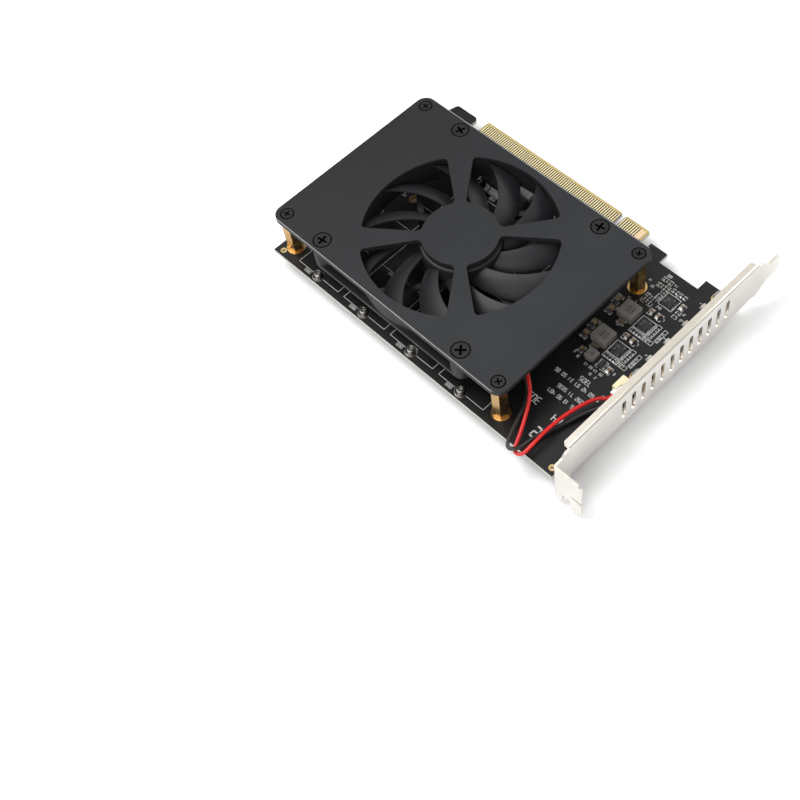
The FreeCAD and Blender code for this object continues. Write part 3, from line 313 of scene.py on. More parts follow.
def drive_nut_material():
    # bright neck, darker flange next to the board
    flange_top = 0.72
    n = surface("m2_nut_steel", (0.40, 0.39, 0.37), (0.52, 0.51, 0.48), (0.20, 0.28), metallic=1.0,
                blotch=500.0, grain=9000.0, strength=0.1, depth=0.000002)
    z = n.place("Z")[0]
    flange = n.mix(n.noise(900.0), (0.075, 0.065, 0.055), (0.17, 0.15, 0.13))
    n.colour(n.mix(n.math("LESS_THAN", z, flange_top * MM), n.coat(), flange))
    return n.mat


def sunk_head_material(name, mid, half, radius):
    # black screw, with painted shade, near black, round the rim and down in the cross
    rim_width, cross_depth = 0.42, 0.45
    n = surface(name, (0.0075, 0.0075, 0.0073), (0.0125, 0.0125, 0.0122), (0.22, 0.34),
                metallic=0.1, specular=0.42, blotch=700.0)
    z = n.place("Z")[0]
    rim = n.math("GREATER_THAN", n.from_corners(mid, half), (radius - rim_width) * MM)
    low = n.math("LESS_THAN", z, (PLATE_TOP - cross_depth) * MM)
    # painted shade in the gap round the head and down in the cross: the colour there is near black
    # and the link to Metallic takes out the gloss too
    dark = n.math("MAXIMUM", rim, low)
    n.colour(n.mix(dark, n.coat(), (0.0008, 0.0008, 0.0008)))
    n.link(n.ramp(dark, 0.0, 1.0, 0.1, 1.0), n.bsdf.inputs["Metallic"])
    return n.mat


FINISHES = {
    "pad_gold": dict(dark=(0.70, 0.45, 0.18), light=(0.86, 0.62, 0.30), rough=(0.22, 0.34),
                     metallic=1.0, blotch=400.0),
    "screw_steel": dict(dark=(0.56, 0.55, 0.52), light=(0.70, 0.69, 0.66), rough=(0.22, 0.38),
                        metallic=1.0, blotch=500.0),
    "screw_black": dict(dark=(0.006, 0.005, 0.0045), light=(0.013, 0.011, 0.009),
                        rough=(0.24, 0.36), metallic=0.12, specular=0.38, blotch=700.0),
    "nut_steel": dict(dark=(0.40, 0.39, 0.37), light=(0.52, 0.51, 0.48), rough=(0.20, 0.28),
                      metallic=1.0, blotch=500.0, grain=9000.0, strength=0.1, depth=0.000002),
    "post_brass": dict(dark=(0.43, 0.25, 0.085), light=(0.55, 0.35, 0.14), rough=(0.22, 0.28),
                       metallic=1.0, blotch=60.0, grain=9000.0, strength=0.1, depth=0.000002,
                       stretch=(1, 1, 4)),
    "fan_plastic": dict(dark=(0.0078, 0.0083, 0.0095), light=(0.0125, 0.0132, 0.015),
                        rough=(0.42, 0.54), specular=0.31, blotch=90.0, grain=5000.0),
    "bush_bronze": dict(dark=(0.42, 0.25, 0.12), light=(0.55, 0.36, 0.19), rough=(0.30, 0.45),
                        metallic=1.0),
    "circuit_green": dict(dark=(0.02, 0.10, 0.05), light=(0.03, 0.15, 0.07), rough=(0.25, 0.40)),
    "core_steel": dict(dark=(0.34, 0.34, 0.35), light=(0.46, 0.46, 0.47), rough=(0.30, 0.45),
                       metallic=1.0, blotch=300.0, grain=3000.0, strength=0.5, depth=0.00003,
                       stretch=(1, 1, 12)),
    "coil_copper": dict(dark=(0.48, 0.18, 0.07), light=(0.68, 0.30, 0.13), rough=(0.20, 0.36),
                        metallic=1.0, blotch=900.0, grain=2500.0, strength=0.6, depth=0.00005),
    "yoke_steel": dict(dark=(0.45, 0.45, 0.46), light=(0.58, 0.58, 0.59), rough=(0.26, 0.40),
                       metallic=1.0),
    "magnet_rubber": dict(dark=(0.030, 0.028, 0.026), light=(0.045, 0.042, 0.038),
                          rough=(0.60, 0.80)),
    "shaft_steel": dict(dark=(0.62, 0.62, 0.63), light=(0.72, 0.72, 0.73), rough=(0.14, 0.24),
                        metallic=1.0),
    "socket_plastic": dict(dark=(0.010, 0.010, 0.011), light=(0.018, 0.018, 0.019),
                           rough=(0.34, 0.50), specular=0.35, blotch=400.0, strength=0.4,
                           depth=0.000015),
    "lead_tin": dict(dark=(0.50, 0.50, 0.49), light=(0.68, 0.68, 0.66), rough=(0.22, 0.36),
                     metallic=1.0, blotch=900.0),
    "ferrite_grey": dict(dark=(0.112, 0.104, 0.096), light=(0.150, 0.139, 0.129),
                         rough=(0.48, 0.62), specular=0.35, blotch=500.0, grain=5000.0,
                         strength=0.5, depth=0.00003),
    "chip_black": dict(dark=(0.012, 0.012, 0.012), light=(0.021, 0.021, 0.021),
                       rough=(0.42, 0.58), specular=0.35, blotch=500.0, grain=7000.0,
                       strength=0.4, depth=0.00002),
    "cap_tan": dict(dark=(0.125, 0.085, 0.045), light=(0.20, 0.145, 0.085), rough=(0.35, 0.50),
                    specular=0.35, blotch=900.0),
    "resistor_dark": dict(dark=(0.02, 0.02, 0.021), light=(0.045, 0.045, 0.045),
                          rough=(0.30, 0.45)),
    "led_white": dict(dark=(0.36, 0.36, 0.30), light=(0.50, 0.50, 0.43), rough=(0.20, 0.34)),
    "header_cream": dict(dark=(0.76, 0.66, 0.40), light=(0.84, 0.75, 0.50), rough=(0.38, 0.52),
                         blotch=200.0),
    "plug_white": dict(dark=(0.78, 0.78, 0.74), light=(0.88, 0.88, 0.85), rough=(0.35, 0.50),
                       blotch=200.0),
    "wire_red": dict(dark=(0.46, 0.008, 0.008), light=(0.62, 0.016, 0.014), rough=(0.28, 0.40),
                     blotch=200.0, grain=3000.0),
    "wire_black": dict(dark=(0.010, 0.010, 0.010), light=(0.018, 0.018, 0.018),
                       rough=(0.30, 0.42), blotch=200.0, grain=3000.0),
    "board_print": dict(dark=(0.50, 0.50, 0.48), light=(0.68, 0.68, 0.66), rough=(0.45, 0.60),
                        blotch=1500.0),
    "bar_grey": dict(dark=(0.12, 0.127, 0.135), light=(0.17, 0.178, 0.187), rough=(0.34, 0.46),
                     blotch=300.0),
    "lead_pale": dict(dark=(0.62, 0.63, 0.63), light=(0.76, 0.77, 0.77), rough=(0.30, 0.42),
                      metallic=0.3, blotch=900.0),
    "mark_dark": dict(dark=(0.030, 0.027, 0.025), light=(0.045, 0.040, 0.037),
                      rough=(0.50, 0.65)),
    "mark_pale": dict(dark=(0.16, 0.16, 0.155), light=(0.22, 0.22, 0.21), rough=(0.50, 0.65)),
    "floor_white": dict(dark=(0.86, 0.86, 0.86), light=(0.88, 0.88, 0.88), rough=(0.75, 0.85)),
}
MATERIALS = {name: surface(name, **values).mat for name, values in FINISHES.items()}
MATERIALS["board_black"] = board_material()
MATERIALS["contact_gold"] = contact_material()
MATERIALS["bracket_steel"] = bracket_material()
MATERIALS["cover_grey"] = cover_material()

for part in frame["record"]["subparts"]:
    obj = nodes[part["node"]]
    obj.data.materials.clear()
    obj.data.materials.append(MATERIALS[part["material_slot"]])
nodes["m2_nuts"].data.materials[0] = drive_nut_material()
nodes["cover_screws"].data.materials[0] = sunk_head_material(
    "cover_screws_black", PLATE_MID, COVER_SCREWS, COVER_SCREW_R)
nodes["fan_screws"].data.materials[0] = sunk_head_material(
    "fan_screws_black", FAN, FAN_SCREWS, FAN_SCREW_R)


# ------------------------------------------------------------------ broken edges
# widths in millimetres of the small bevels that catch the light
WELD_GAP = 0.000002
EDGE_WIDTHS = {"cover_plate": 0.32, "cover_screws": 0.2, "fan_screws": 0.25, "bracket": 0.10,
               "fan_frame": 0.22, "power_inductors": 0.3, "small_inductor": 0.25,
               "power_chips": 0.06, "chip_capacitors": 0.08, "fan_header": 0.12,
               "fan_plug": 0.15, "bracket_nuts": 0.12, "m2_nuts": 0.1, "m2_connector_1": 0.1,
               "m2_connector_2": 0.1, "m2_connector_3": 0.1, "m2_connector_4": 0.1}
for name, width in EDGE_WIDTHS.items():
    weld = nodes[name].modifiers.new("weld", "WELD")
    weld.merge_threshold = WELD_GAP
    bevel = nodes[name].modifiers.new("bevel", "BEVEL")
    bevel.width = width * MM
    bevel.segments = 2
    bevel.limit_method = "ANGLE"
    bevel.angle_limit = math.radians(35.0)
    bevel.harden_normals = True


# ------------------------------------------------------------------ meshes, laid out in millimetres
PRINT_T = 0.02
PAD_T = 0.03


def piece(name, bm, slot, body="card", material=None):
    # the mesh that was drawn becomes one object on a body
    bmesh.ops.recalc_face_normals(bm, faces=bm.faces)
    mesh = bpy.data.meshes.new(name)
    bm.to_mesh(mesh)
    bm.free()
    obj = bpy.data.objects.new(name, mesh)
    scene.collection.objects.link(obj)
    obj.data.materials.append(MATERIALS[material or slot])
    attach(obj, body)
    return obj


def point(bm, x, y, z):
    return bm.verts.new(Vector((x, y, z)) * MM)


def span_box(bm, x0, x1, y0, y1, z0, z1):
    # box between its two ends on each axis, which may come in either order
    x0, x1 = sorted((x0, x1))
    y0, y1 = sorted((y0, y1))
    for v in bmesh.ops.create_cube(bm, size=1.0)["verts"]:
        v.co.x = (x0 if v.co.x < 0 else x1) * MM
        v.co.y = (y0 if v.co.y < 0 else y1) * MM
        v.co.z = (z0 if v.co.z < 0 else z1) * MM


def block(bm, x, y, half_x, half_y, height):
    # box on the board, set out from its middle
    span_box(bm, x - half_x, x + half_x, y - half_y, y + half_y, 0.0, height)


def ring(bm, cx, cy, z0, z1, r_in, r_out, count):
    # flat washer with a square section
    turns = [2 * math.pi * k / count for k in range(count)]
    loops = [[point(bm, cx + r * math.cos(a), cy + r * math.sin(a), z) for a in turns]
             for r, z in ((r_in, z0), (r_out, z0), (r_out, z1), (r_in, z1))]
    for i, low in enumerate(loops):
        high = loops[(i + 1) % 4]
        for k in range(count):
            j = (k + 1) % count
            bm.faces.new((low[k], low[j], high[j], high[k]))


def bar(bm, x0, y0, x1, y1, width, z0=0.0, z1=PRINT_T):
    # straight stroke from point to point
    start, end = Vector((x0, y0)), Vector((x1, y1))
    along = end - start
    side = Vector((-along.y, along.x)).normalized() * width / 2
    ends = (start + side, end + side, end - side, start - side)
    low = [point(bm, p.x, p.y, z0) for p in ends]
    top = [point(bm, p.x, p.y, z1) for p in ends]
    bm.faces.new(top)
    bm.faces.new(low[::-1])
    for i in range(4):
        j = (i + 1) % 4
        bm.faces.new((low[i], low[j], top[j], top[i]))


def box_outline(bm, cx, cy, w, d, width, gap=0.0):
    # printed frame; gap is the open share in the middle of each side
    x0, x1, y0, y1 = cx - w / 2, cx + w / 2, cy - d / 2, cy + d / 2
    for ax, ay, bx, by in ((x0, y0, x1, y0), (x1, y0, x1, y1), (x1, y1, x0, y1), (x0, y1, x0, y0)):
        if gap:
            mx, my = (ax + bx) / 2, (ay + by) / 2
            open_x, open_y = (bx - ax) / 2 * gap, (by - ay) / 2 * gap
            bar(bm, ax, ay, mx - open_x, my - open_y, width)
            bar(bm, mx + open_x, my + open_y, bx, by, width)
        else:
            bar(bm, ax, ay, bx, by, width)


# seven-stroke figures: the strokes of each, and each stroke's ends on a grid 1 wide and 2 high
STROKES = {"0": "abcdef", "1": "bc", "2": "abged", "3": "abgcd", "4": "fgbc", "5": "afgcd",
           "6": "afgedc", "7": "abc", "8": "abcdefg", "9": "abcdfg", " ": ""}
STROKE_ENDS = {"a": (0, 2, 1, 2), "b": (1, 2, 1, 1), "c": (1, 1, 1, 0), "d": (0, 0, 1, 0),
               "e": (0, 0, 0, 1), "f": (0, 1, 0, 2), "g": (0, 1, 1, 1)}
FIGURE_WIDTH, FIGURE_SPACE = 0.46, 0.24          # as shares of the height


def figures(bm, text, x, y, height, turn, width, z0=0.0, z1=PRINT_T):
    c, s = math.cos(math.radians(turn)), math.sin(math.radians(turn))
    wide = height * FIGURE_WIDTH
    for i, ch in enumerate(text):
        left = i * (wide + height * FIGURE_SPACE)
        for key in STROKES[ch]:
            ax, ay, bx, by = STROKE_ENDS[key]
            ax, bx = left + ax * wide, left + bx * wide
            ay, by = ay * height / 2, by * height / 2
            bar(bm, x + ax * c - ay * s, y + ax * s + ay * c,
                x + bx * c - by * s, y + bx * s + by * c, width, z0, z1)


# ------------------------------------------------------------------ white print of the drive bays
LINE_W = 0.16
NUT_GAP, HOLE_GAP, RIGHT_GAP = 2.9, 4.3, 2.6     # from a hole's middle to its row line
SOCKET_FRAME = (-20.9, 23.6, 12.4)               # middle y, width and depth
bm = bmesh.new()
for bx in BAYS:
    for side in (-1, 1):
        bar(bm, bx + side * BAY_HALF, BAY_END_Y, bx + side * BAY_HALF, ROWS[0], LINE_W)
    for row, label in zip(ROWS, ("0080", "0060", "0042", "0030")):
        left_gap = NUT_GAP if row == ROWS[0] else HOLE_GAP
        bar(bm, bx - BAY_HALF, row, bx - left_gap, row, LINE_W)
        bar(bm, bx + RIGHT_GAP, row, bx + BAY_HALF, row, LINE_W)
        figures(bm, label, bx - 6.4, row - 1.6, 1.15, 0.0, 0.12)
    box_outline(bm, bx, *SOCKET_FRAME, 0.18)
for bx, label in zip(BAYS, ("101", "202", "303", "404")):
    figures(bm, label, bx - 3.7, -29.0, 1.45, 0.0, 0.22)
    bar(bm, bx - 3.9, -30.1, bx + 1.6, -30.1, 0.2)
    for text, y in (("67", -24.4), ("1", -21.0)):
        figures(bm, text, bx - 12.5, y, 1.1, 90.0, 0.16)
piece("print_bays", bm, "board_black", material="board_print")


# ------------------------------------------------------------------ white print round the small parts
STAGES = CHIPS[1:]
CHIP_FRAMES = STAGES + ((38.7, -20.4),)
CHIP_FRAME = (6.0, 6.1)                  # width and depth
# frames of single parts: middle, width and depth
FRAMES = ((32.4, -24.5, 4.7, 4.6), (34.3, -19.0, 1.9, 7.4), (32.3, -16.9, 4.4, 1.9),
          (32.3, -13.6, 4.4, 1.9), (37.5, -15.5, 2.9, 1.8), (41.0, -15.5, 2.9, 1.8),
          (44.2, -23.3, 1.9, 3.4), (43.8, -19.4, 2.0, 3.0), (28.7, -56.8, 2.1, 3.0),
          (41.8, -57.3, 2.2, 3.2), (38.4, -57.0, 3.4, 3.8))
# part numbers: figures, place and turn
PART_NUMBERS = (("14", 26.2, -17.9, 0), ("26", 28.9, -19.6, 0), ("308", 30.4, -11.9, 0),
                ("41", 35.3, -13.9, 0), ("6", 38.8, -17.4, 0), ("12", 45.4, -21.9, 0),
                ("5", 46.4, -24.6, 0), ("240", 36.4, -25.4, 0), ("17", 27.0, -29.3, 90),
                ("3", 29.2, -29.0, 0), ("52", 30.6, -40.6, 0), ("53", 30.4, -54.8, 0),
                ("9", 27.2, -59.6, 0), ("10", 28.8, -60.4, 0), ("31", 33.3, -61.0, 0),
                ("28", 35.6, -61.0, 0), ("47", 37.6, -61.2, 0), ("60", 40.2, -60.9, 0),
                ("19", 37.0, -63.2, 0), ("2", 40.0, -63.2, 0), ("8", 44.0, -57.6, 0),
                ("1", 48.0, -13.9, 90), ("2", 48.0, -24.0, 90), ("3", 48.0, -34.2, 90),
                ("4", 48.0, -43.9, 90), ("12", 46.6, -67.2, 0))
# plain numbers on the open part of the board, read from the far side: figures, place, height, width
OPEN_NUMBERS = (("7305", 41.2, -65.1, 1.9, 0.2), ("18 60 42 97 31 50 86", 48.0, -68.2, 1.5, 0.2),
                ("4092 71 5836", 44.8, -72.6, 1.5, 0.2), ("26 13 90 487", 43.5, -76.1, 1.5, 0.2),
                ("305", 32.4, -81.6, 2.8, 0.34), ("64", 43.4, -82.8, 2.8, 0.42),
                ("12", 43.9, -90.4, 4.4, 0.6), ("2", 50.8, -80.4, 1.5, 0.2))
bm = bmesh.new()
for cx, cy in CHIP_FRAMES:
    # each chip's frame, with its first corner filled
    box_outline(bm, cx, cy, *CHIP_FRAME, 0.2)
    bar(bm, cx + 3.0, cy - 3.05, cx + 3.0, cy - 1.2, 0.55)
    bar(bm, cx + 3.2, cy - 3.0, cx + 1.6, cy - 3.0, 0.5)
for cx, cy in STAGES:
    # the resistor rows and capacitor pair round a power stage
    low = cy - 4.5
    for x, y, w, d in ((cx + 0.2, low, 6.4, 2.0), (cx + 5.0, low - 0.1, 4.6, 1.6),
                       (cx + 4.5, cy + 0.1, 1.9, 6.4), (cx + 7.6, cy, 1.4, 6.2)):
        box_outline(bm, x, y, w, d, LINE_W)
    box_outline(bm, cx, cy + 5.95, 6.0, 2.9, LINE_W, 0.5)
    figures(bm, "2427", cx + 3.1, low - 0.6, 1.1, 0.0, 0.13)
    figures(bm, "318214", cx + 8.1, cy - 2.9, 1.1, 90.0, 0.13)
    for side in (-1, 1):
        figures(bm, "7", cx + 3.4 * side, cy + 5.5, 1.0, 0.0, 0.13)
for x, y, w, d in FRAMES:
    box_outline(bm, x, y, w, d, 0.15, 0.25)
for text, x, y, turn in PART_NUMBERS:
    figures(bm, text, x, y, 1.05, turn, 0.13)
for places, w, d, width, gap in ((WIDE_CAPS, 3.2, 2.3, 0.15, 0.35),
                                 (LARGE_CAPS, 2.8, 4.3, 0.15, 0.3),
                                 (LIGHTS, 1.5, 2.7, 0.14, 0.0)):
    for x, y in places:
        box_outline(bm, x, y, w, d, width, gap)
for text, x, y, height, width in OPEN_NUMBERS:
    figures(bm, text, x, y, height, 180.0, width)
piece("print_parts", bm, "board_black", material="board_print")


# ------------------------------------------------------------------ bare metal rings round the holes
# inner and outer radius and number of sides
POST_RING, POST_RING_UNDER = (1.7, 3.7, 48), (1.7, 3.6, 48)
TOOLING_RING = (0.62, 1.25, 24)
ROW_RING, ROW_RING_UNDER, ROW_WALL = (1.36, 1.95, 36), (1.36, 2.05, 36), (1.26, 1.345, 36)


def pad(bm, x, y, sizes, under=False):
    z0 = -BOARD_T - PAD_T if under else 0.0
    ring(bm, x, y, z0, z0 + PAD_T, *sizes)


bm = bmesh.new()
for x, y in POSTS:
    pad(bm, x, y, POST_RING)
    pad(bm, x, y, POST_RING_UNDER, under=True)
for x, y in LUGS:
    pad(bm, x, y, POST_RING)
for x, y in TOOLING_HOLES:
    pad(bm, x, y, TOOLING_RING)
    pad(bm, x, y, TOOLING_RING, under=True)
for bx in BAYS:
    for row in ROWS:
        pad(bm, bx, row, ROW_RING_UNDER, under=True)
    for row in ROWS[1:]:
        # open holes have a ring on the component face and a plated wall
        pad(bm, bx, row, ROW_RING)
        ring(bm, bx, row, -BOARD_T, 0.0, *ROW_WALL)
    for off_x, radius in PEGS:
        pad(bm, bx + off_x, PEG_Y, (radius + 0.02, radius + 0.3, 24), under=True)
piece("ring_pads", bm, "contact_gold", material="pad_gold")
bm = bmesh.new()
for bx in BAYS:
    ring(bm, bx, ROWS[0], 0.0, 0.04, 2.12, 2.4, 36)
piece("nut_pads", bm, "lead_tin")


# ------------------------------------------------------------------ solder ends of the small parts
SOLDER_SHARE = 0.24                      # of a part's length, for the tinned cap at each end
SOLDER_SKIN = 0.02
FOOT_SKIN = 0.05
FOOT_SHARE = 0.3                         # of a part's height
# the flat legs of a chip, in a row along each side
LEGS, LEG_STEP, LEG_FIRST = 6, 0.58, -1.45
LEG_HALF, LEG_REACH, LEG_T = 0.13, 0.22, 0.09
LEG_ROW_X, LEG_ROW_Y = 2.3, 2.2


def solder(bm, x, y, w, d, h, along):
    # a tinned cap at each end of a chip part, with a low foot on the board
    cap = SOLDER_SHARE * (w if along == "x" else d)
    foot = 0.45 * cap + 0.12
    for side in (-1, 1):
        if along == "x":
            end = x + side * w / 2
            span_box(bm, end - side * cap, end + side * SOLDER_SKIN,
                     y - d / 2 - SOLDER_SKIN, y + d / 2 + SOLDER_SKIN, 0.0, h + SOLDER_SKIN)
            span_box(bm, end, end + side * foot,
                     y - d / 2 - FOOT_SKIN, y + d / 2 + FOOT_SKIN, 0.0, FOOT_SHARE * h)
        else:
            end = y + side * d / 2
            span_box(bm, x - w / 2 - SOLDER_SKIN, x + w / 2 + SOLDER_SKIN,
                     end - side * cap, end + side * SOLDER_SKIN, 0.0, h + SOLDER_SKIN)
            span_box(bm, x - w / 2 - FOOT_SKIN, x + w / 2 + FOOT_SKIN,
                     end, end + side * foot, 0.0, FOOT_SHARE * h)


bm = bmesh.new()
for places, w, d, h in ((SMALL_CAPS, 1.25, 2.0, 1.1), (LARGE_CAPS, 2.0, 3.2, 1.6),
                        (WIDE_CAPS, 2.6, 1.4, 0.8)):
    for x, y in places:
        solder(bm, x, y, w, d, h, "y")
for x, y, count in RESISTORS_X:
    for k in range(count):
        solder(bm, x + RESISTOR_STEP * k, y, 0.6, 1.2, 0.5, "y")
for x, y, count in RESISTORS_Y:
    for k in range(count):
        solder(bm, x, y + RESISTOR_STEP * k, 1.2, 0.6, 0.5, "x")
for side in (-1, 1):
    for x, y in LIGHTS:
        block(bm, x, y + side * 0.95, 0.4, 0.18, 0.22)
    for cx, cy in CHIPS:
        for k in range(LEGS):
            off = LEG_FIRST + LEG_STEP * k
            block(bm, cx + off, cy + side * LEG_ROW_Y, LEG_HALF, LEG_REACH, LEG_T)
            block(bm, cx + side * LEG_ROW_X, cy + off, LEG_REACH, LEG_HALF, LEG_T)
    for k in (-1, 0, 1):
        block(bm, SIX_LEG_PART[0] + side * 1.15, SIX_LEG_PART[1] + 0.95 * k, 0.4, 0.2, 0.22)
    for cx, cy in INDUCTORS:
        block(bm, cx, cy + side * 3.62, 1.6, 0.35, 0.25)
    block(bm, SMALL_INDUCTOR[0], SMALL_INDUCTOR[1] + side * 2.2, 1.2, 0.3, 0.2)
piece("solder_ends", bm, "lead_tin")


# ------------------------------------------------------------------ socket contacts
LEADS = 34
LEAD_STEP = 0.5
KEY_X, KEY_HALF = -6.1, 0.3              # the socket's key takes the place of the leads near it
# a lead's front foot, its upright and its rear tail: half width, both ends along y, and top
LEAD_PARTS = ((0.15, SOCKET_FRONT_Y - 1.7, SOCKET_FRONT_Y - 0.05, 0.16),
              (0.15, SOCKET_FRONT_Y - 0.12, SOCKET_FRONT_Y - 0.02, 2.0),
              (0.12, SOCKET_BACK_Y, SOCKET_BACK_Y + 1.2, 0.18))
# the solder tab at each end of a socket
TAB_X, TAB_HALF, TAB_TOP = 10.3, 0.75, 0.3
TAB_Y = (SOCKET_BACK_Y - 0.9, SOCKET_BACK_Y + 0.7)
bm = bmesh.new()
for bx in BAYS:
    for k in range(LEADS):
        x = bx + (k - (LEADS - 1) / 2) * LEAD_STEP
        if abs(x - bx - KEY_X) < KEY_HALF:
            continue
        for half, y0, y1, top in LEAD_PARTS:
            span_box(bm, x - half, x + half, y0, y1, 0.0, top)
    for side in (-1, 1):
        x = bx + side * TAB_X
        span_box(bm, x - TAB_HALF, x + TAB_HALF, *TAB_Y, 0.0, TAB_TOP)
piece("socket_leads", bm, "lead_tin", material="lead_pale")


# ------------------------------------------------------------------ pale rear bars of the sockets
BAR_Y = (SOCKET_BACK_Y - 5.3, SOCKET_BACK_Y - 0.7)
BAR_HALF, BAR_Z = 10.85, (4.16, 4.24)
END_X, END_Z = (10.9, 10.99), (2.6, 4.2)
# two small raised studs at each end of a bar
STUD_X, STUD_HALF, STUD_Z = (9.4, 7.0), 0.35, (4.22, 4.32)
STUD_Y = (BAR_Y[0] + 0.4, BAR_Y[0] + 1.1)
bm = bmesh.new()
for bx in BAYS:
    span_box(bm, bx - BAR_HALF, bx + BAR_HALF, *BAR_Y, *BAR_Z)
    for side in (-1, 1):
        span_box(bm, bx + side * END_X[0], bx + side * END_X[1], *BAR_Y, *END_Z)
        for off_x in STUD_X:
            x = bx + side * off_x
            span_box(bm, x - STUD_HALF, x + STUD_HALF, *STUD_Y, *STUD_Z)
piece("socket_bars", bm, "socket_plastic", material="bar_grey")


# ------------------------------------------------------------------ figures on inductors and chips
bm = bmesh.new()
for cx, cy in INDUCTORS:
    figures(bm, "33", cx - 1.15, cy - 1.25, 2.4, 0.0, 0.34, INDUCTOR_TOP, INDUCTOR_TOP + PRINT_T)
cx, cy = SMALL_INDUCTOR
figures(bm, "15", cx - 0.8, cy - 0.85, 1.6, 0.0, 0.24,
        SMALL_INDUCTOR_TOP, SMALL_INDUCTOR_TOP + PRINT_T)
piece("inductor_figures", bm, "ferrite_grey", material="mark_dark")
bm = bmesh.new()
CHIP_MARKS_Z = (CHIP_TOP, CHIP_TOP + 0.015)
for cx, cy in CHIPS:
    figures(bm, "41", cx - 1.3, cy + 0.2, 1.0, 0.0, 0.13, *CHIP_MARKS_Z)
    figures(bm, "2", cx - 1.3, cy - 1.3, 1.0, 0.0, 0.13, *CHIP_MARKS_Z)
    ring(bm, cx + 1.5, cy + 1.4, *CHIP_MARKS_Z, 0.12, 0.26, 16)
piece("chip_figures", bm, "chip_black", material="mark_pale")


# ------------------------------------------------------------------ fan rotor with smooth blades
BLADES = 11
BLADE_ROWS, BLADE_COLUMNS = 22, 12       # from root to tip, and along the chord
BLADE_ROOT, BLADE_TIP = 15.3, 37.2
BLADE_LOW_Z, BLADE_TOP_Z, BLADE_RISE = 11.2, 15.4, 1.2
CHORD_BASE, CHORD_GROWTH = 2.4, 0.27
FALL, FALL_CURVE = 0.68, 0.32            # how a blade drops from its high edge to its low one
EDGE_T, BELLY_T = 0.32, 0.62
LEAD_ANGLE, LEAD_SWEEP, LEAD_R = 76.4, 1.38, 30.0        # high edge: degrees at a radius
HUB_SIDES = 72
# radius and height, from the middle of the cap round the rim and back inside
HUB_PROFILE = ((0.0, 17.3), (14.7, 17.3), (15.1, 17.22), (15.42, 17.0), (15.55, 16.7),
               (15.6, 16.3), (15.6, 10.4), (14.6, 10.4), (14.6, 16.1), (0.0, 16.1))


def blade_sheet(bm, turn, upper):
    # one face of a blade: rows of points from root to tip, each from the high edge to the low one
    sheet = []
    for i in range(BLADE_ROWS):
        u = i / (BLADE_ROWS - 1)
        r = BLADE_ROOT + (BLADE_TIP - BLADE_ROOT) * u
        chord = CHORD_BASE + CHORD_GROWTH * r
        drop = BLADE_TOP_Z + BLADE_RISE * u - BLADE_LOW_Z
        middle = math.radians(LEAD_ANGLE + LEAD_SWEEP * (r - LEAD_R)) + turn - chord / 2 / r
        line = []
        for j in range(BLADE_COLUMNS):
            v = j / (BLADE_COLUMNS - 1)
            along = chord * v
            z = BLADE_LOW_Z + drop * (1 - FALL * v - FALL_CURVE * v * v)
            if upper:
                belly = math.sin(math.pi * min(1.0, 0.12 + 0.88 * v)) ** 0.8
                thick = EDGE_T + BELLY_T * belly
                along += 0.5 * thick
                z += 0.85 * thick
            off = chord / 2 - along
            line.append(point(bm, FAN[0] + r * math.cos(middle) - off * math.sin(middle),
                              FAN[1] + r * math.sin(middle) + off * math.cos(middle), z))
        sheet.append(line)
    return sheet


def blade(bm, turn):
    # two sheets joined round their four edges
    low = blade_sheet(bm, turn, False)
    high = blade_sheet(bm, turn, True)
    for i in range(BLADE_ROWS - 1):
        for j in range(BLADE_COLUMNS - 1):
            bm.faces.new((low[i][j], low[i + 1][j], low[i + 1][j + 1], low[i][j + 1]))
            bm.faces.new((high[i][j], high[i][j + 1], high[i + 1][j + 1], high[i + 1][j]))
        bm.faces.new((low[i][0], high[i][0], high[i + 1][0], low[i + 1][0]))
        bm.faces.new((low[i][-1], low[i + 1][-1], high[i + 1][-1], high[i][-1]))
    for j in range(BLADE_COLUMNS - 1):
        bm.faces.new((low[0][j], low[0][j + 1], high[0][j + 1], high[0][j]))
        bm.faces.new((low[-1][j], high[-1][j], high[-1][j + 1], low[-1][j + 1]))


def shade(obj, angle):
    for poly in obj.data.polygons:
        poly.use_smooth = True
    obj.data.set_sharp_from_angle(angle=math.radians(angle))


bm = bmesh.new()
for k in range(BLADES):
    blade(bm, 2 * math.pi * k / BLADES)
blades = piece("rotor_blades", bm, "fan_plastic", "rotor")
shade(blades, 50.0)

bm = bmesh.new()
hub_turns = [2 * math.pi * k / HUB_SIDES for k in range(HUB_SIDES)]
rings = []
for r, z in HUB_PROFILE:
    if r == 0.0:
        # one shared point on the axis
        rings.append([point(bm, *FAN, z)] * HUB_SIDES)
    else:
        rings.append([point(bm, FAN[0] + r * math.cos(a), FAN[1] + r * math.sin(a), z)
                      for a in hub_turns])
for low, high in zip(rings, rings[1:]):
    for k in range(HUB_SIDES):
        j = (k + 1) % HUB_SIDES
        bm.faces.new(list(dict.fromkeys((low[k], low[j], high[j], high[k]))))
hub = piece("rotor_hub", bm, "fan_plastic", "rotor")
shade(hub, 40.0)
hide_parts("fan_rotor")


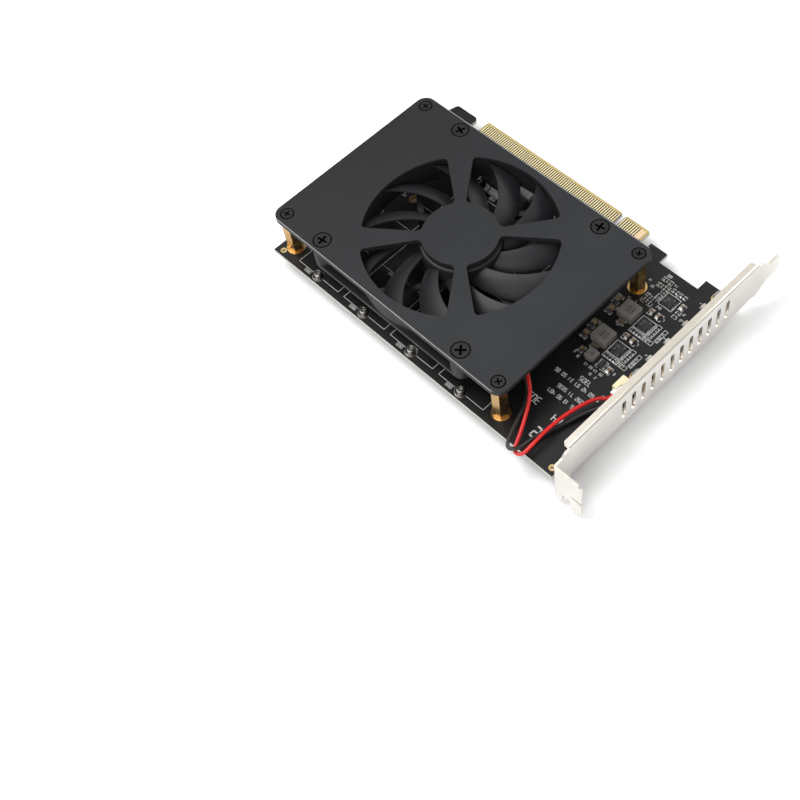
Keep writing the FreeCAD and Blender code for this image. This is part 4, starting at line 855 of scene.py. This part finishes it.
# ------------------------------------------------------------------ fan leads
# each route runs from the plug to the fan
WIRE_D = 1.4
RED = [(50.6, -65.4, 3.1), (50.6, -67.7, 3.1), (47.8, -69.3, 3.2), (45.4, -75.8, 3.4),
       (43.9, -83.7, 3.8), (43.7, -91.7, 4.5), (44.0, -97.5, 4.5), (43.8, -103.8, 3.2),
       (40.5, -104.5, 3.3), (39.0, -100.4, 4.2), (35.9, -93.6, 6.0), (31.9, -86.2, 8.4),
       (25.6, -81.1, 9.8), (17.5, -76.0, 9.7), (11.4, -76.0, 9.7)]
BLACK = [(52.6, -65.4, 3.1), (52.6, -68.4, 3.1), (50.7, -70.9, 2.3), (47.5, -76.8, 1.7),
         (45.7, -83.7, 1.7), (42.5, -91.3, 1.9), (41.7, -97.9, 3.4), (42.0, -103.7, 5.4),
         (38.9, -106.0, 5.4), (36.4, -101.6, 5.5), (34.0, -95.0, 5.7), (31.8, -88.5, 6.0),
         (28.2, -83.3, 7.2), (20.6, -79.6, 8.2), (15.6, -78.6, 9.7), (11.4, -78.6, 9.7)]


def wire(name, points, slot, node):
    curve = bpy.data.curves.new(name, "CURVE")
    curve.dimensions = "3D"
    spline = curve.splines.new("NURBS")
    spline.points.add(len(points) - 1)
    for spot, p in zip(spline.points, points):
        spot.co = (p[0] * MM, p[1] * MM, p[2] * MM, 1.0)
    spline.order_u = 3
    spline.use_endpoint_u = True
    spline.resolution_u = 10
    curve.bevel_depth = WIRE_D / 2 * MM
    curve.bevel_resolution = 5
    curve.use_fill_caps = True
    obj = bpy.data.objects.new(name, curve)
    scene.collection.objects.link(obj)
    curve.materials.append(MATERIALS[slot])
    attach(obj, "card")
    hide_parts(node)


wire("lead_red", RED, "wire_red", "red_wire")
wire("lead_black", BLACK, "wire_black", "black_wire")


# ------------------------------------------------------------------ floor and lights, in metres
FLOOR_HALF = 3.0
FLOOR_GAP = 0.0002
AIM = Vector((-0.01, -0.05, 0.0))
floor_z = cad_box[0][2] - FLOOR_GAP
corners = ((-1, -1), (1, -1), (1, 1), (-1, 1))
floor_mesh = bpy.data.meshes.new("floor")
floor_mesh.from_pydata([(FLOOR_HALF * x, FLOOR_HALF * y, floor_z) for x, y in corners], [],
                       [(0, 1, 2, 3)])
floor = bpy.data.objects.new("floor", floor_mesh)
scene.collection.objects.link(floor)
floor.data.materials.append(MATERIALS["floor_white"])


def area_light(name, place, width, depth, power):
    data = bpy.data.lights.new(name, "AREA")
    data.shape = "RECTANGLE"
    data.size = width
    data.size_y = depth
    data.energy = power
    obj = bpy.data.objects.new(name, data)
    scene.collection.objects.link(obj)
    obj.location = Vector(place)
    obj.rotation_euler = (AIM - Vector(place)).to_track_quat("-Z", "Y").to_euler()


area_light("key", (-0.40, -0.26, 0.93), 0.6, 0.6, 8.5)
area_light("fill", (0.5, -0.85, 0.65), 0.8, 0.8, 6.0)
area_light("rim", (0.0, 0.9, 0.6), 0.9, 0.5, 3.0)

world = bpy.data.worlds.new("studio")
scene.world = world
world.use_nodes = True
background = world.node_tree.nodes["Background"]
background.inputs["Color"].default_value = (1.0, 1.0, 1.0, 1.0)
background.inputs["Strength"].default_value = 0.6
scene.view_settings.view_transform = "Standard"
